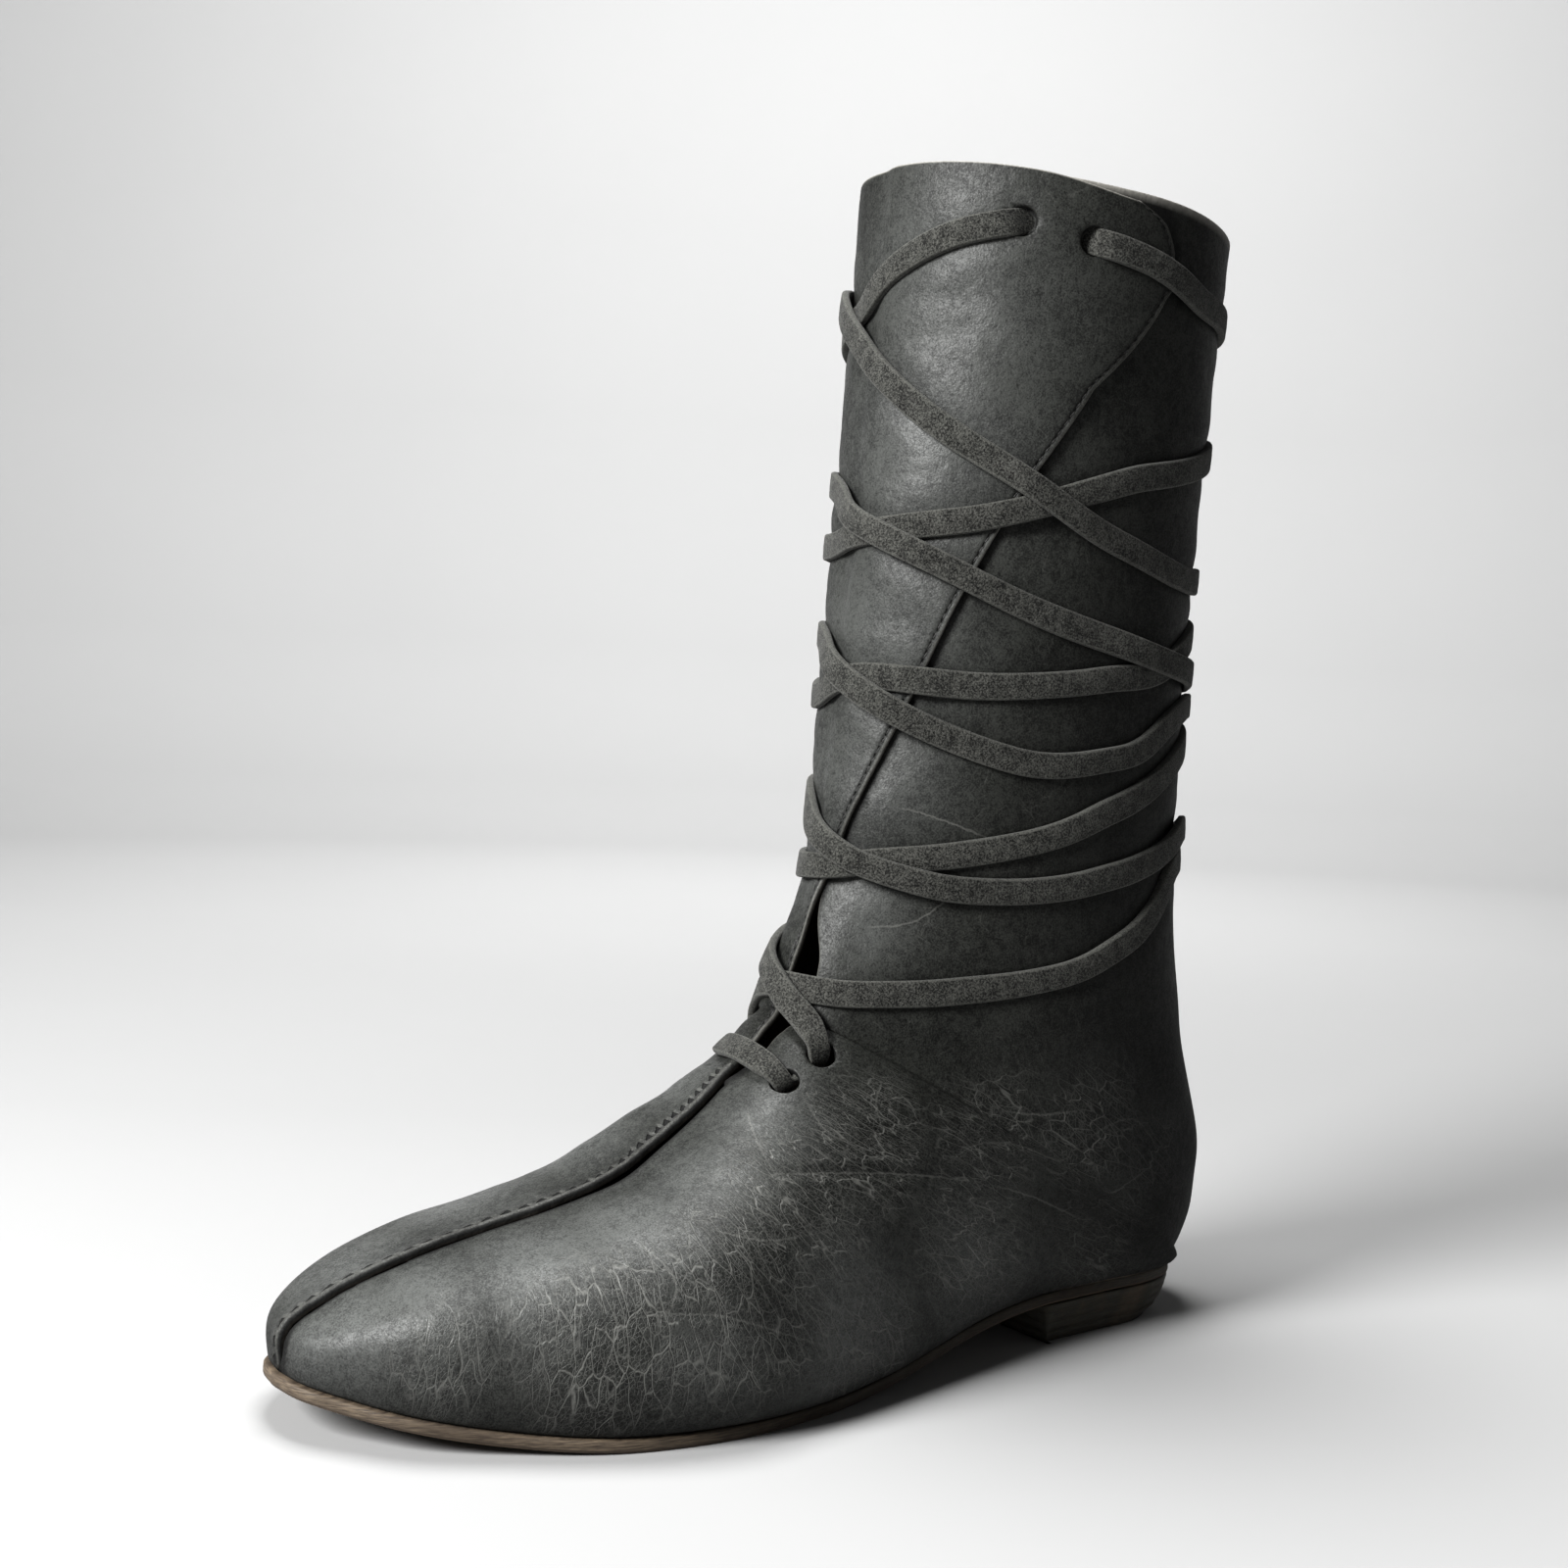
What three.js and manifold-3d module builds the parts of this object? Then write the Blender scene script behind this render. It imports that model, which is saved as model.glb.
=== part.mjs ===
// Lace-up mid-calf boot for the left foot: a soft leather upper that wraps over
// itself at the front, a thin leather sole, a low stacked heel and one flat lace
// wound round the shaft. Millimetres, Z up, toe toward -Y, outer side toward +X.
// The origin is the middle of the heel's flat underside, on the floor.
import * as THREE from 'three';
import { mergeVertices } from 'three/addons/utils/BufferGeometryUtils.js';
import Module from 'manifold-3d';

const SOLE_LENGTH = 290;
const BALL_WIDTH = 108;
const INSTEP_HEIGHT = 96;
const SHAFT_WIDTH = 106;
const SHAFT_DEPTH = 112;
const COLLAR_HEIGHT = 337;
const COLLAR_DROP = 7;
const HEEL_HEIGHT = 12;
const HEEL_LENGTH = 70;
const HEEL_TAPER = 2;
const SOLE_THICKNESS = 3.5;
const SOLE_EDGE = 1.6;
const TOE_SPRING = 11;
const INSOLE_THICKNESS = 2;
const LEATHER = 2;
const FIT_GAP = 0.3;
const SEAM_LAP = 4;
const SEAM_RISE = 1.2;
const FLAP_GAP = 0.8;
const HOLE_DIAMETER = 7.5;
const LACE_WIDTH = 7.5;
const LACE_THICKNESS = 2.4;
const LACE_GAP = 0.7;

const clamp01 = (t) => Math.min(1, Math.max(0, t));
const smooth = (t) => clamp01(t) ** 2 * (3 - 2 * clamp01(t));
const mix = (a, b, t) => a * (1 - t) + b * t;
const vec = (x, y, z) => new THREE.Vector3(x, y, z);

// Rows of numbers under named columns.
const table = (columns, rows) => rows.map((row) => (
  Object.fromEntries(columns.map((name, i) => [name, row[i]]))
));

// Places along the boot are measured forward from the back of the sole.
const worldY = (along) => HEEL_LENGTH / 2 - along;

// The sole's underside by its share of the length: heel seat, arch, flat tread, toe spring.
const SEAT_END = 0.22;
const TREAD_START = 0.56;
const TREAD_END = 0.73;

function soleUnder(along) {
  const share = along / SOLE_LENGTH;
  const arch = HEEL_HEIGHT * smooth((TREAD_START - share) / (TREAD_START - SEAT_END));
  const spring = TOE_SPRING * Math.max(0, (share - TREAD_END) / (1 - TREAD_END)) ** 2;
  return arch + spring;
}

const soleTop = (along) => soleUnder(along) + SOLE_THICKNESS;
const feather = (along) => soleTop(along) + FIT_GAP;

// Sections of the foot from the tip of the toe to the end of the heel. Each is a flat
// cut that leans from the sole line, at back, up to the ridge of the vamp, at front.
// back, front: shares of SOLE_LENGTH. rise: ridge above the sole line, share of
// INSTEP_HEIGHT. left, right, shift, seam: shares of BALL_WIDTH for the reach of each
// side, the move of the middle and the move of the ridge. base: lower edge as a share
// of the reach. belly: height of the widest place. square: 2 is an ellipse, more is boxier.
const FOOT = table(
  ['back', 'front', 'rise', 'left', 'right', 'base', 'belly', 'square', 'shift', 'seam'],
  [
    [0.993, 0.993, 0.000, 0.010, 0.010, 0.80, 0.40, 2.2, -0.040, 0.000],
    [0.986, 0.988, 0.110, 0.120, 0.125, 0.84, 0.40, 2.7, -0.044, 0.020],
    [0.962, 0.962, 0.190, 0.222, 0.235, 0.86, 0.38, 3.0, -0.048, 0.035],
    [0.921, 0.921, 0.285, 0.325, 0.335, 0.88, 0.34, 3.2, -0.032, 0.050],
    [0.855, 0.852, 0.390, 0.418, 0.425, 0.90, 0.32, 3.3, -0.016, 0.060],
    [0.752, 0.767, 0.480, 0.510, 0.496, 0.91, 0.30, 3.3,  0.020, 0.060],
    [0.628, 0.700, 0.550, 0.550, 0.492, 0.86, 0.28, 3.3,  0.042, 0.050],
    [0.483, 0.645, 0.640, 0.495, 0.441, 0.80, 0.28, 3.2,  0.040, 0.040],
    [0.328, 0.592, 0.740, 0.411, 0.410, 0.77, 0.28, 3.0,  0.020, 0.040],
    [0.166, 0.547, 0.850, 0.367, 0.395, 0.79, 0.28, 2.8,  0.005, 0.035],
    [0.078, 0.520, 0.930, 0.370, 0.385, 0.72, 0.30, 2.5,  0.003, 0.020],
    [0.030, 0.508, 0.970, 0.378, 0.378, 0.56, 0.32, 2.3,  0.002, 0.010],
  ],
);

// Sections of the shaft from the end of the heel to the collar.
// back: share of SHAFT_DEPTH. lean: 1 puts the front at the throat, 0 over the collar's.
// backUp, frontUp: shares of the way up from the heel seat and from the instep.
// left, right: shares of SHAFT_WIDTH.
const SHAFT = table(
  ['back', 'lean', 'backUp', 'frontUp', 'left', 'right', 'belly', 'square'],
  [
    [ 0.015, 1.00, 0.000, 0.00, 0.390, 0.382, 0.34, 2.2],
    [-0.042, 0.84, 0.038, 0.06, 0.398, 0.380, 0.38, 2.1],
    [-0.056, 0.60, 0.104, 0.14, 0.408, 0.382, 0.42, 2.0],
    [ 0.014, 0.46, 0.220, 0.25, 0.410, 0.404, 0.46, 2.0],
    [ 0.068, 0.35, 0.364, 0.39, 0.426, 0.434, 0.50, 2.0],
    [ 0.088, 0.22, 0.554, 0.58, 0.454, 0.468, 0.50, 2.0],
    [ 0.072, 0.10, 0.760, 0.79, 0.490, 0.482, 0.50, 2.0],
    [ 0.036, 0.00, 1.000, 1.00, 0.530, 0.486, 0.50, 2.0],
  ],
);

const HEEL_END = FOOT.length;
const COLLAR = FOOT.length + SHAFT.length - 1;
const THROAT_ALONG = FOOT[FOOT.length - 1].front * SOLE_LENGTH;
const COLLAR_ALONG = (SHAFT[SHAFT.length - 1].back + 1) * SHAFT_DEPTH;
const SEAT_UP = feather(0);
const THROAT_UP = feather(THROAT_ALONG) + INSTEP_HEIGHT;

const footRow = (row) => ({
  backY: row.back * SOLE_LENGTH,
  backZ: feather(row.back * SOLE_LENGTH),
  frontY: row.front * SOLE_LENGTH,
  frontZ: feather(row.front * SOLE_LENGTH) + row.rise * INSTEP_HEIGHT,
  left: row.left * BALL_WIDTH,
  right: row.right * BALL_WIDTH,
  base: row.base,
  belly: row.belly,
  square: row.square,
  shift: row.shift * BALL_WIDTH,
  seam: row.seam * BALL_WIDTH,
});

const shaftRow = (row) => ({
  backY: row.back * SHAFT_DEPTH,
  backZ: mix(SEAT_UP, COLLAR_HEIGHT - COLLAR_DROP, row.backUp),
  frontY: mix(COLLAR_ALONG, THROAT_ALONG, row.lean),
  frontZ: mix(THROAT_UP, COLLAR_HEIGHT, row.frontUp),
  left: row.left * SHAFT_WIDTH,
  right: row.right * SHAFT_WIDTH,
  base: 0,
  belly: row.belly,
  square: row.square,
  shift: 0,
  seam: 0,
});

const SECTIONS = [...FOOT.map(footRow), ...SHAFT.map(shaftRow)];

// A smooth value between the rows of a table, at row number u.
function between(rows, key, u) {
  const end = rows.length - 1;
  const i = Math.min(end - 1, Math.max(0, Math.floor(u)));
  const t = u - i;
  const at = (k) => rows[k][key];
  const p1 = at(i);
  const p2 = at(i + 1);
  const p0 = i > 0 ? at(i - 1) : 2 * p1 - p2;
  const p3 = i < end - 1 ? at(i + 2) : 2 * p2 - p1;
  const bend = (p2 - p0) * t + (2 * p0 - 5 * p1 + 4 * p2 - p3) * t * t;
  return 0.5 * (2 * p1 + bend + (3 * p1 - p0 - 3 * p2 + p3) * t ** 3);
}

// The outside of the last at row u, round the section by a: 0 is the ridge or front,
// 1 the lower edge or back on the left, -1 the same on the right.
const LOW_SHARE = 0.42;

function last(u, a) {
  const get = (key) => between(SECTIONS, key, u);
  const up = 1 - Math.abs(a);
  const belly = get('belly');
  let out;
  let rise;
  let seam = 0;
  if (up < LOW_SHARE) {
    const turn = (up / LOW_SHARE) * (Math.PI / 2);
    const base = clamp01(get('base'));
    out = base + (1 - base) * Math.sin(turn);
    rise = belly * (1 - Math.cos(turn));
  } else {
    const turn = ((up - LOW_SHARE) / (1 - LOW_SHARE)) * (Math.PI / 2);
    const square = get('square');
    const c = Math.max(0, Math.cos(turn));
    const s = Math.sin(turn);
    const reach = (c ** square + s ** square) ** (-1 / square);
    out = c * reach;
    rise = belly + (1 - belly) * s * reach;
    seam = get('seam') * (1 - out * out);
  }
  const side = a > 0 ? get('left') : -get('right');
  const backY = get('backY');
  const backZ = u < HEEL_END ? feather(backY) : get('backZ');
  return vec(
    get('shift') + side * out + seam,
    worldY(mix(backY, get('frontY'), rise)),
    mix(backZ, get('frontZ'), rise),
  );
}

// Outward direction of the last's surface, by small steps either way.
const STEP_UP = 0.15;
const STEP_ROUND = 0.01;

function slopes(u, a) {
  const step = Math.min(STEP_UP, u / 2);
  const from = u - step;
  const to = Math.min(COLLAR, u + step);
  const back = Math.max(-1, a - STEP_ROUND);
  const ahead = Math.min(1, a + STEP_ROUND);
  return {
    byRow: last(to, a).sub(last(from, a)).divideScalar(to - from),
    byRound: last(u, ahead).sub(last(u, back)).divideScalar(ahead - back),
  };
}

function outward(u, a) {
  const { byRow, byRound } = slopes(u, a);
  const normal = byRound.cross(byRow);
  if (Math.abs(a) === 1 && u >= HEEL_END) normal.x = 0;
  return normal.normalize();
}

const skin = (u, a, height) => last(u, a).addScaledVector(outward(u, a), height);

// Front edges of the two panels above the throat, by section row and place round it.
// near: the left panel, which lies underneath. flap: the right panel, which wraps over
// to the left side and reaches round toward the back at the collar.
const EDGES = [
  { row: 8.8, near: 0.000, flap: 0.000 },
  { row: 9.2, near: 0.045, flap: 0.000 },
  { row: 10.0, near: 0.068, flap: 0.002 },
  { row: 12.0, near: 0.105, flap: 0.020 },
  { row: 13.0, near: 0.098, flap: 0.032 },
  { row: 13.6, near: 0.050, flap: 0.038 },
  { row: 14.2, near: 0.036, flap: 0.055 },
  { row: 15.0, near: 0.034, flap: 0.107 },
  { row: 16.0, near: 0.034, flap: 0.197 },
  { row: 17.0, near: 0.034, flap: 0.308 },
  { row: 18.0, near: 0.034, flap: 0.460 },
  { row: 18.6, near: 0.034, flap: 0.585 },
  { row: 19.0, near: 0.034, flap: 0.550 },
];
const THROAT = EDGES[0].row;

function edgeAt(key, u) {
  if (u <= THROAT) return 0;
  let i = 0;
  while (i < EDGES.length - 2 && u > EDGES[i + 1].row) i += 1;
  const t = (u - EDGES[i].row) / (EDGES[i + 1].row - EDGES[i].row);
  return between(EDGES, key, i + clamp01(t));
}

// How far the right panel stands off the last: the lapped seam down the vamp and
// instep, and the flap where it lies over the left panel.
const WIDEST_LAP = 0.08;
const FLAP_RAMP = 0.07;
const SEAM_FADE_ROWS = 1.5;
const FLAP_RISE = LEATHER + FLAP_GAP;
const lapShare = (u) => {
  const perUnit = (between(SECTIONS, 'left', u) * Math.PI) / 2 / (1 - LOW_SHARE);
  return Math.min(WIDEST_LAP, SEAM_LAP / perUnit);
};

function rightRise(u, a) {
  const fromEdge = (edgeAt('flap', u) - a) / lapShare(u);
  const ends = smooth(u) * (1 - smooth((u - THROAT) / SEAM_FADE_ROWS));
  const seam = SEAM_RISE * smooth(2 - fromEdge) * ends;
  if (u <= THROAT) return seam;
  const over = smooth((a - edgeAt('near', u) + FLAP_RAMP) / FLAP_RAMP);
  return Math.max(seam, FLAP_RISE * over);
}

// Closed bodies are made from named points and faces; equal points are then merged.
function solidFrom(points, faces) {
  const positions = faces.flatMap((face) => face.flatMap((k) => points[k].toArray()));
  const geometry = new THREE.BufferGeometry();
  geometry.setAttribute('position', new THREE.Float32BufferAttribute(positions, 3));
  return weld(geometry);
}

const WELD = 1e-4;

function weld(geometry) {
  const bare = geometry.clone();
  bare.deleteAttribute('normal');
  bare.deleteAttribute('uv');
  const merged = mergeVertices(bare, WELD);
  const index = merged.getIndex().array;
  const kept = [];
  for (let i = 0; i < index.length; i += 3) {
    const [a, b, c] = index.slice(i, i + 3);
    if (a !== b && b !== c && c !== a) kept.push(a, b, c);
  }
  merged.setIndex(kept);
  return merged;
}

const wasm = await Module();
wasm.setup();

const toSolid = (geometry) => new wasm.Manifold(new wasm.Mesh({
  numProp: 3,
  vertProperties: new Float32Array(geometry.getAttribute('position').array),
  triVerts: new Uint32Array(geometry.getIndex().array),
}));

function toGeometry(solid) {
  const mesh = solid.getMesh();
  const geometry = new THREE.BufferGeometry();
  geometry.setAttribute('position', new THREE.BufferAttribute(mesh.vertProperties, 3));
  geometry.setIndex(new THREE.BufferAttribute(mesh.triVerts, 1));
  geometry.computeVertexNormals();
  return geometry;
}

// The upper: both panels as one wall, joined down the vamp's seam, round the toe and
// at the back, open at the collar, at the throat and underneath.
const STATIONS = [
  0, 0.2, 0.45, 0.7, 1, 1.5, 2, 2.5, 3, 3.5, 4, 4.5, 5, 5.5, 6, 6.5, 7, 7.5, 8, 8.4,
  THROAT, 9.2, 9.6, 10, 10.5, 11, 11.3, 11.6, 11.8, HEEL_END, 12.5, 13, 13.4, 13.8, 14.2, 14.6,
  15, 15.5, 16, 16.5, 17, 17.5, 18, 18.35, 18.7, COLLAR,
];
const LEFT_COLUMNS = 10;
const RIGHT_COLUMNS = 18;

function leftPlaces(u) {
  const edge = edgeAt('near', u);
  return Array.from({ length: LEFT_COLUMNS + 1 }, (_, j) => mix(edge, 1, j / LEFT_COLUMNS));
}

function rightPlaces(u) {
  const edge = edgeAt('flap', u);
  const lap = lapShare(u);
  const after = edge - 2 * lap;
  const rest = RIGHT_COLUMNS - 2;
  const places = Array.from({ length: rest + 1 }, (_, j) => mix(after, -1, j / rest));
  return [edge, edge - lap, ...places];
}

function upperGeometry() {
  const points = [];
  const add = (p) => points.push(p) - 1;
  const tip = add(last(0, 1).setX(between(SECTIONS, 'shift', 0)));
  const tipInside = add(points[tip].clone().add(vec(0, LEATHER, LEATHER * 0.6)));
  const heelColumn = new Map();
  const seamInside = new Map();
  const rows = STATIONS.slice(1).map((u) => {
    const panel = (places, rise) => places.map((a) => {
      const isBack = u >= HEEL_END && Math.abs(a) === 1;
      if (isBack && heelColumn.has(u)) return heelColumn.get(u);
      const height = rise(u, a);
      const pair = { outside: add(skin(u, a, height)), inside: add(skin(u, a, height - LEATHER)) };
      if (isBack) heelColumn.set(u, pair);
      return pair;
    });
    const left = panel(leftPlaces(u), () => 0);
    const right = panel(rightPlaces(u), rightRise);
    if (u <= THROAT) {
      right[0].inside = left[0].inside;
      seamInside.set(u, left[0].inside);
    }
    return { u, left, right };
  });
  const faces = [];
  const quad = (a, b, c, d) => faces.push([a, b, c], [a, c, d]);
  const strip = (p, q, r, s, side) => (side === 'left' ? quad(p, q, r, s) : quad(s, r, q, p));
  const pole = () => ({ outside: tip, inside: tipInside });
  const first = rows[0];
  const start = { u: 0, left: first.left.map(pole), right: first.right.map(pole) };
  [start, ...rows].slice(0, -1).forEach((row, i) => {
    const next = rows[i];
    for (const side of ['left', 'right']) {
      const a = row[side];
      const b = next[side];
      for (let j = 0; j < a.length - 1; j += 1) {
        strip(a[j].outside, a[j + 1].outside, b[j + 1].outside, b[j].outside, side);
        strip(b[j].inside, b[j + 1].inside, a[j + 1].inside, a[j].inside, side);
      }
      const end = a.length - 1;
      if (row.u < HEEL_END) {
        strip(a[end].outside, a[end].inside, b[end].inside, b[end].outside, side);
      }
      if (row.u >= THROAT) {
        strip(b[0].outside, b[0].inside, a[0].inside, a[0].outside, side);
      }
    }
    if (row.u < THROAT) {
      quad(row.left[0].outside, next.left[0].outside, next.right[0].outside, row.right[0].outside);
    }
    if (next.u === THROAT) {
      faces.push([next.left[0].outside, next.left[0].inside, next.right[0].outside]);
    }
  });
  const top = rows[rows.length - 1];
  for (const side of ['left', 'right']) {
    const a = top[side];
    for (let j = 0; j < a.length - 1; j += 1) {
      strip(a[j].outside, a[j + 1].outside, a[j + 1].inside, a[j].inside, side);
    }
  }
  return solidFrom(points, faces);
}

// Lace holes, by section row and place round it: two each side of the throat and two
// near the top of the flap, which go through both layers there.
const HOLES = {
  lowNear: { row: 8.86, around: 0.163 },
  highNear: { row: 9.85, around: 0.183 },
  lowFar: { row: 9.2, around: -0.165 },
  highFar: { row: 10.3, around: -0.190 },
  flapFront: { row: 18.68, around: 0.294 },
  flapBack: { row: 18.64, around: 0.426 },
};
const HOLE_SIDES = 12;
const PUNCH_LENGTH = 6 * LEATHER;

function punch({ row, around }) {
  const tool = new THREE.CylinderGeometry(
    HOLE_DIAMETER / 2, HOLE_DIAMETER / 2, PUNCH_LENGTH, HOLE_SIDES,
  );
  const turn = new THREE.Quaternion().setFromUnitVectors(vec(0, 1, 0), outward(row, around));
  const place = last(row, around);
  tool.applyMatrix4(new THREE.Matrix4().compose(place, turn, vec(1, 1, 1)));
  return toSolid(weld(tool));
}

function upper() {
  let wall = toSolid(upperGeometry());
  for (const hole of Object.values(HOLES)) wall = wall.subtract(punch(hole));
  return toGeometry(wall);
}

// The sole's plan follows the upper's lower edge, moved outward by a margin.
const footprint = (u, side) => {
  const half = side > 0 ? between(SECTIONS, 'left', u) : -between(SECTIONS, 'right', u);
  const base = clamp01(between(SECTIONS, 'base', u));
  return new THREE.Vector2(
    between(SECTIONS, 'shift', u) + half * base,
    worldY(between(SECTIONS, 'backY', u)),
  );
};

// Pairs of left and right plan points at the given rows, moved outward by a margin.
function plan(stations, margin) {
  const lefts = stations.map((u) => footprint(u, 1));
  const rights = stations.map((u) => footprint(u, -1));
  const ring = [...lefts, ...rights.slice().reverse()].filter((p, i, all) => (
    i === 0 || p.distanceTo(all[i - 1]) > WELD
  ));
  const moved = ring.map((p, i) => {
    const before = ring[(i + ring.length - 1) % ring.length];
    const after = ring[(i + 1) % ring.length];
    const run = after.clone().sub(before).normalize();
    return p.clone().add(new THREE.Vector2(run.y, -run.x).multiplyScalar(margin));
  });
  return stations.map((u, i) => ({
    along: between(SECTIONS, 'backY', u),
    left: moved[i],
    right: moved[Math.min(ring.length - 1, ring.length - 1 - i)],
  }));
}

// A plate between two plans, with its faces at heights worked out from the along place.
function plate(topPlan, bottomPlan, topAt, bottomAt) {
  const points = [];
  const lift = (p, height) => points.push(vec(p.x, p.y, height)) - 1;
  const rings = topPlan.map((top, i) => {
    const bottom = bottomPlan[i];
    return {
      tl: lift(top.left, topAt(top.along)),
      tr: lift(top.right, topAt(top.along)),
      bl: lift(bottom.left, bottomAt(top.along)),
      br: lift(bottom.right, bottomAt(top.along)),
    };
  });
  const faces = [];
  const quad = (a, b, c, d) => faces.push([a, b, c], [a, c, d]);
  for (let i = 0; i < rings.length - 1; i += 1) {
    const a = rings[i];
    const b = rings[i + 1];
    quad(a.tl, b.tl, b.tr, a.tr);
    quad(a.bl, a.br, b.br, b.bl);
    quad(a.tl, a.bl, b.bl, b.tl);
    quad(a.tr, b.tr, b.br, a.br);
  }
  const front = rings[0];
  const back = rings[rings.length - 1];
  quad(front.tl, front.tr, front.br, front.bl);
  quad(back.tl, back.bl, back.br, back.tr);
  return solidFrom(points, faces);
}

const SOLE_ROWS = STATIONS.filter((u) => u <= HEEL_END);

function rowAt(along) {
  let low = 0;
  let high = HEEL_END;
  while (high - low > WELD) {
    const mid = (low + high) / 2;
    if (between(SECTIONS, 'backY', mid) > along) low = mid;
    else high = mid;
  }
  return low;
}

function outsole() {
  const edge = plan(SOLE_ROWS, SOLE_EDGE);
  return plate(edge, edge, soleTop, soleUnder);
}

const HEEL_INSET = 0.8;
const LEAST_STEP = 0.1;

function heel() {
  const breast = rowAt(HEEL_LENGTH);
  const rows = [breast, ...SOLE_ROWS.filter((u) => u > breast + LEAST_STEP)];
  const top = plan(rows, SOLE_EDGE - HEEL_INSET);
  const bottom = plan(rows, SOLE_EDGE - HEEL_INSET - HEEL_TAPER);
  return plate(top, bottom, (along) => soleUnder(along) - FIT_GAP, () => 0);
}

const INSOLE_TOE_ROW = 0.7;
const INSOLE_HEEL_ROW = 11.6;
const INSOLE_ROWS = SOLE_ROWS.filter((u) => u >= INSOLE_TOE_ROW && u <= INSOLE_HEEL_ROW);
const INSOLE_CLEARANCE = 0.8;

function insole() {
  const edge = plan(INSOLE_ROWS, -(LEATHER + INSOLE_CLEARANCE));
  const under = (along) => soleTop(along) + FIT_GAP;
  return plate(edge, edge, (along) => under(along) + INSOLE_THICKNESS, under);
}

// The lace's two strands, from the throat to the top of the flap: section row, and
// place round the shaft in half turns, where odd numbers are the back. The first
// strand lies on the leather, the second over it.
const UNDER_STRAND = [
  [10.3, -0.190], [10.9, -0.100], [12.07, -0.006], [12.45, 0.060], [12.66, 0.169],
  [13.15, 0.263], [13.70, 0.349], [14.18, 0.434], [14.71, 0.540], [15.24, 0.640],
  [15.64, 0.709], [15.98, 0.774], [16.15, 0.88], [16.20, 1.00], [16.00, 1.20],
  [15.40, 1.45], [14.70, 1.70], [14.30, 1.87], [14.20, 1.957], [14.22, 2.057],
  [14.43, 2.140], [14.75, 2.257], [15.20, 2.389], [15.81, 2.560], [16.25, 2.674],
  [16.55, 2.760], [16.78, 2.87], [16.85, 3.00], [16.80, 3.20], [16.55, 3.45],
  [16.15, 3.70], [15.88, 3.88], [16.00, 4.054], [16.08, 4.191], [16.21, 4.320],
  [16.44, 4.463], [16.68, 4.594], [16.84, 4.666], [17.12, 4.763], [17.30, 4.88],
  [17.35, 5.00], [17.30, 5.20], [17.15, 5.50], [17.00, 5.72], [16.87, 5.897],
  [16.93, 6.089], [17.08, 6.250], [17.27, 6.371], [17.46, 6.470], [17.71, 6.606],
  [18.03, 6.791], [18.15, 6.90], [18.20, 7.00], [18.22, 7.25], [18.20, 7.50],
  [18.18, 7.75], [18.22, 7.940], [18.41, 8.043], [18.58, 8.169], [18.68, 8.294],
];
const OVER_STRAND = [
  [9.85, 0.183], [10.60, 0.103], [12.35, 0.034], [12.83, -0.046], [13.30, -0.16],
  [14.10, -0.36], [15.10, -0.62], [15.95, -0.88], [16.25, -1.05], [16.25, -1.186],
  [15.85, -1.314], [15.45, -1.423], [14.94, -1.577], [14.69, -1.660], [14.50, -1.740],
  [14.38, -1.860], [14.48, -1.940], [14.65, -2.011], [15.03, -2.137], [15.50, -2.35],
  [16.10, -2.60], [16.70, -2.85], [16.92, -3.05], [16.88, -3.18], [16.68, -3.280],
  [16.34, -3.371], [16.06, -3.486], [15.87, -3.597], [15.79, -3.740], [15.85, -3.863],
  [16.02, -3.977], [16.29, -4.117], [16.50, -4.30], [16.75, -4.55], [17.00, -4.80],
  [17.10, -5.00], [17.05, -5.12], [17.00, -5.209], [16.84, -5.411], [16.76, -5.609],
  [16.82, -5.797], [16.97, -5.969], [17.20, -6.109], [17.40, -6.30], [17.52, -6.55],
  [17.60, -6.80], [17.60, -7.00], [17.52, -7.15], [17.43, -7.234], [17.34, -7.350],
  [17.31, -7.500], [17.39, -7.634], [17.56, -7.811], [17.82, -7.957], [18.11, -8.077],
  [18.36, -8.190], [18.50, -8.40], [18.58, -8.70], [18.60, -9.00], [18.58, -9.237],
  [18.56, -9.340], [18.61, -9.449], [18.64, -9.574],
];
const THROAT_BAR = [[8.86, 0.163], [8.98, 0.080], [9.08, -0.040], [9.2, -0.165]];

const LACE_STEP = 7;
const FINE = 24;

const wrapped = (around) => around - 2 * Math.round(around / 2);

// Height of the leather's outside above the last.
const leatherRise = (u, a) => (a <= edgeAt('flap', u) ? rightRise(u, a) : 0);

// How far the flat strap has to stand off a place so that it clears all the leather
// under its width and half a step either way along it.
const REACH_ALONG = [-0.6, 0, 0.6];
const REACH_ACROSS = [-0.55, -0.3, 0, 0.3, 0.55];

function standOff({ u, a, place, out }, run, across) {
  const { byRow, byRound } = slopes(u, a);
  const rr = byRow.lengthSq();
  const aa = byRound.lengthSq();
  const ra = byRow.dot(byRound);
  const area = rr * aa - ra * ra;
  let most = 0;
  for (const t of REACH_ALONG) {
    for (const s of REACH_ACROSS) {
      const away = run.clone().multiplyScalar(t * LACE_STEP).addScaledVector(across, s * LACE_WIDTH);
      const r = away.dot(byRow);
      const q = away.dot(byRound);
      const nearU = Math.min(COLLAR, u + (r * aa - q * ra) / area);
      const nearA = a + (q * rr - r * ra) / area;
      const top = skin(nearU, nearA, leatherRise(nearU, nearA));
      most = Math.max(most, top.sub(place).dot(out));
    }
  }
  return most + LACE_GAP;
}

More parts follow.
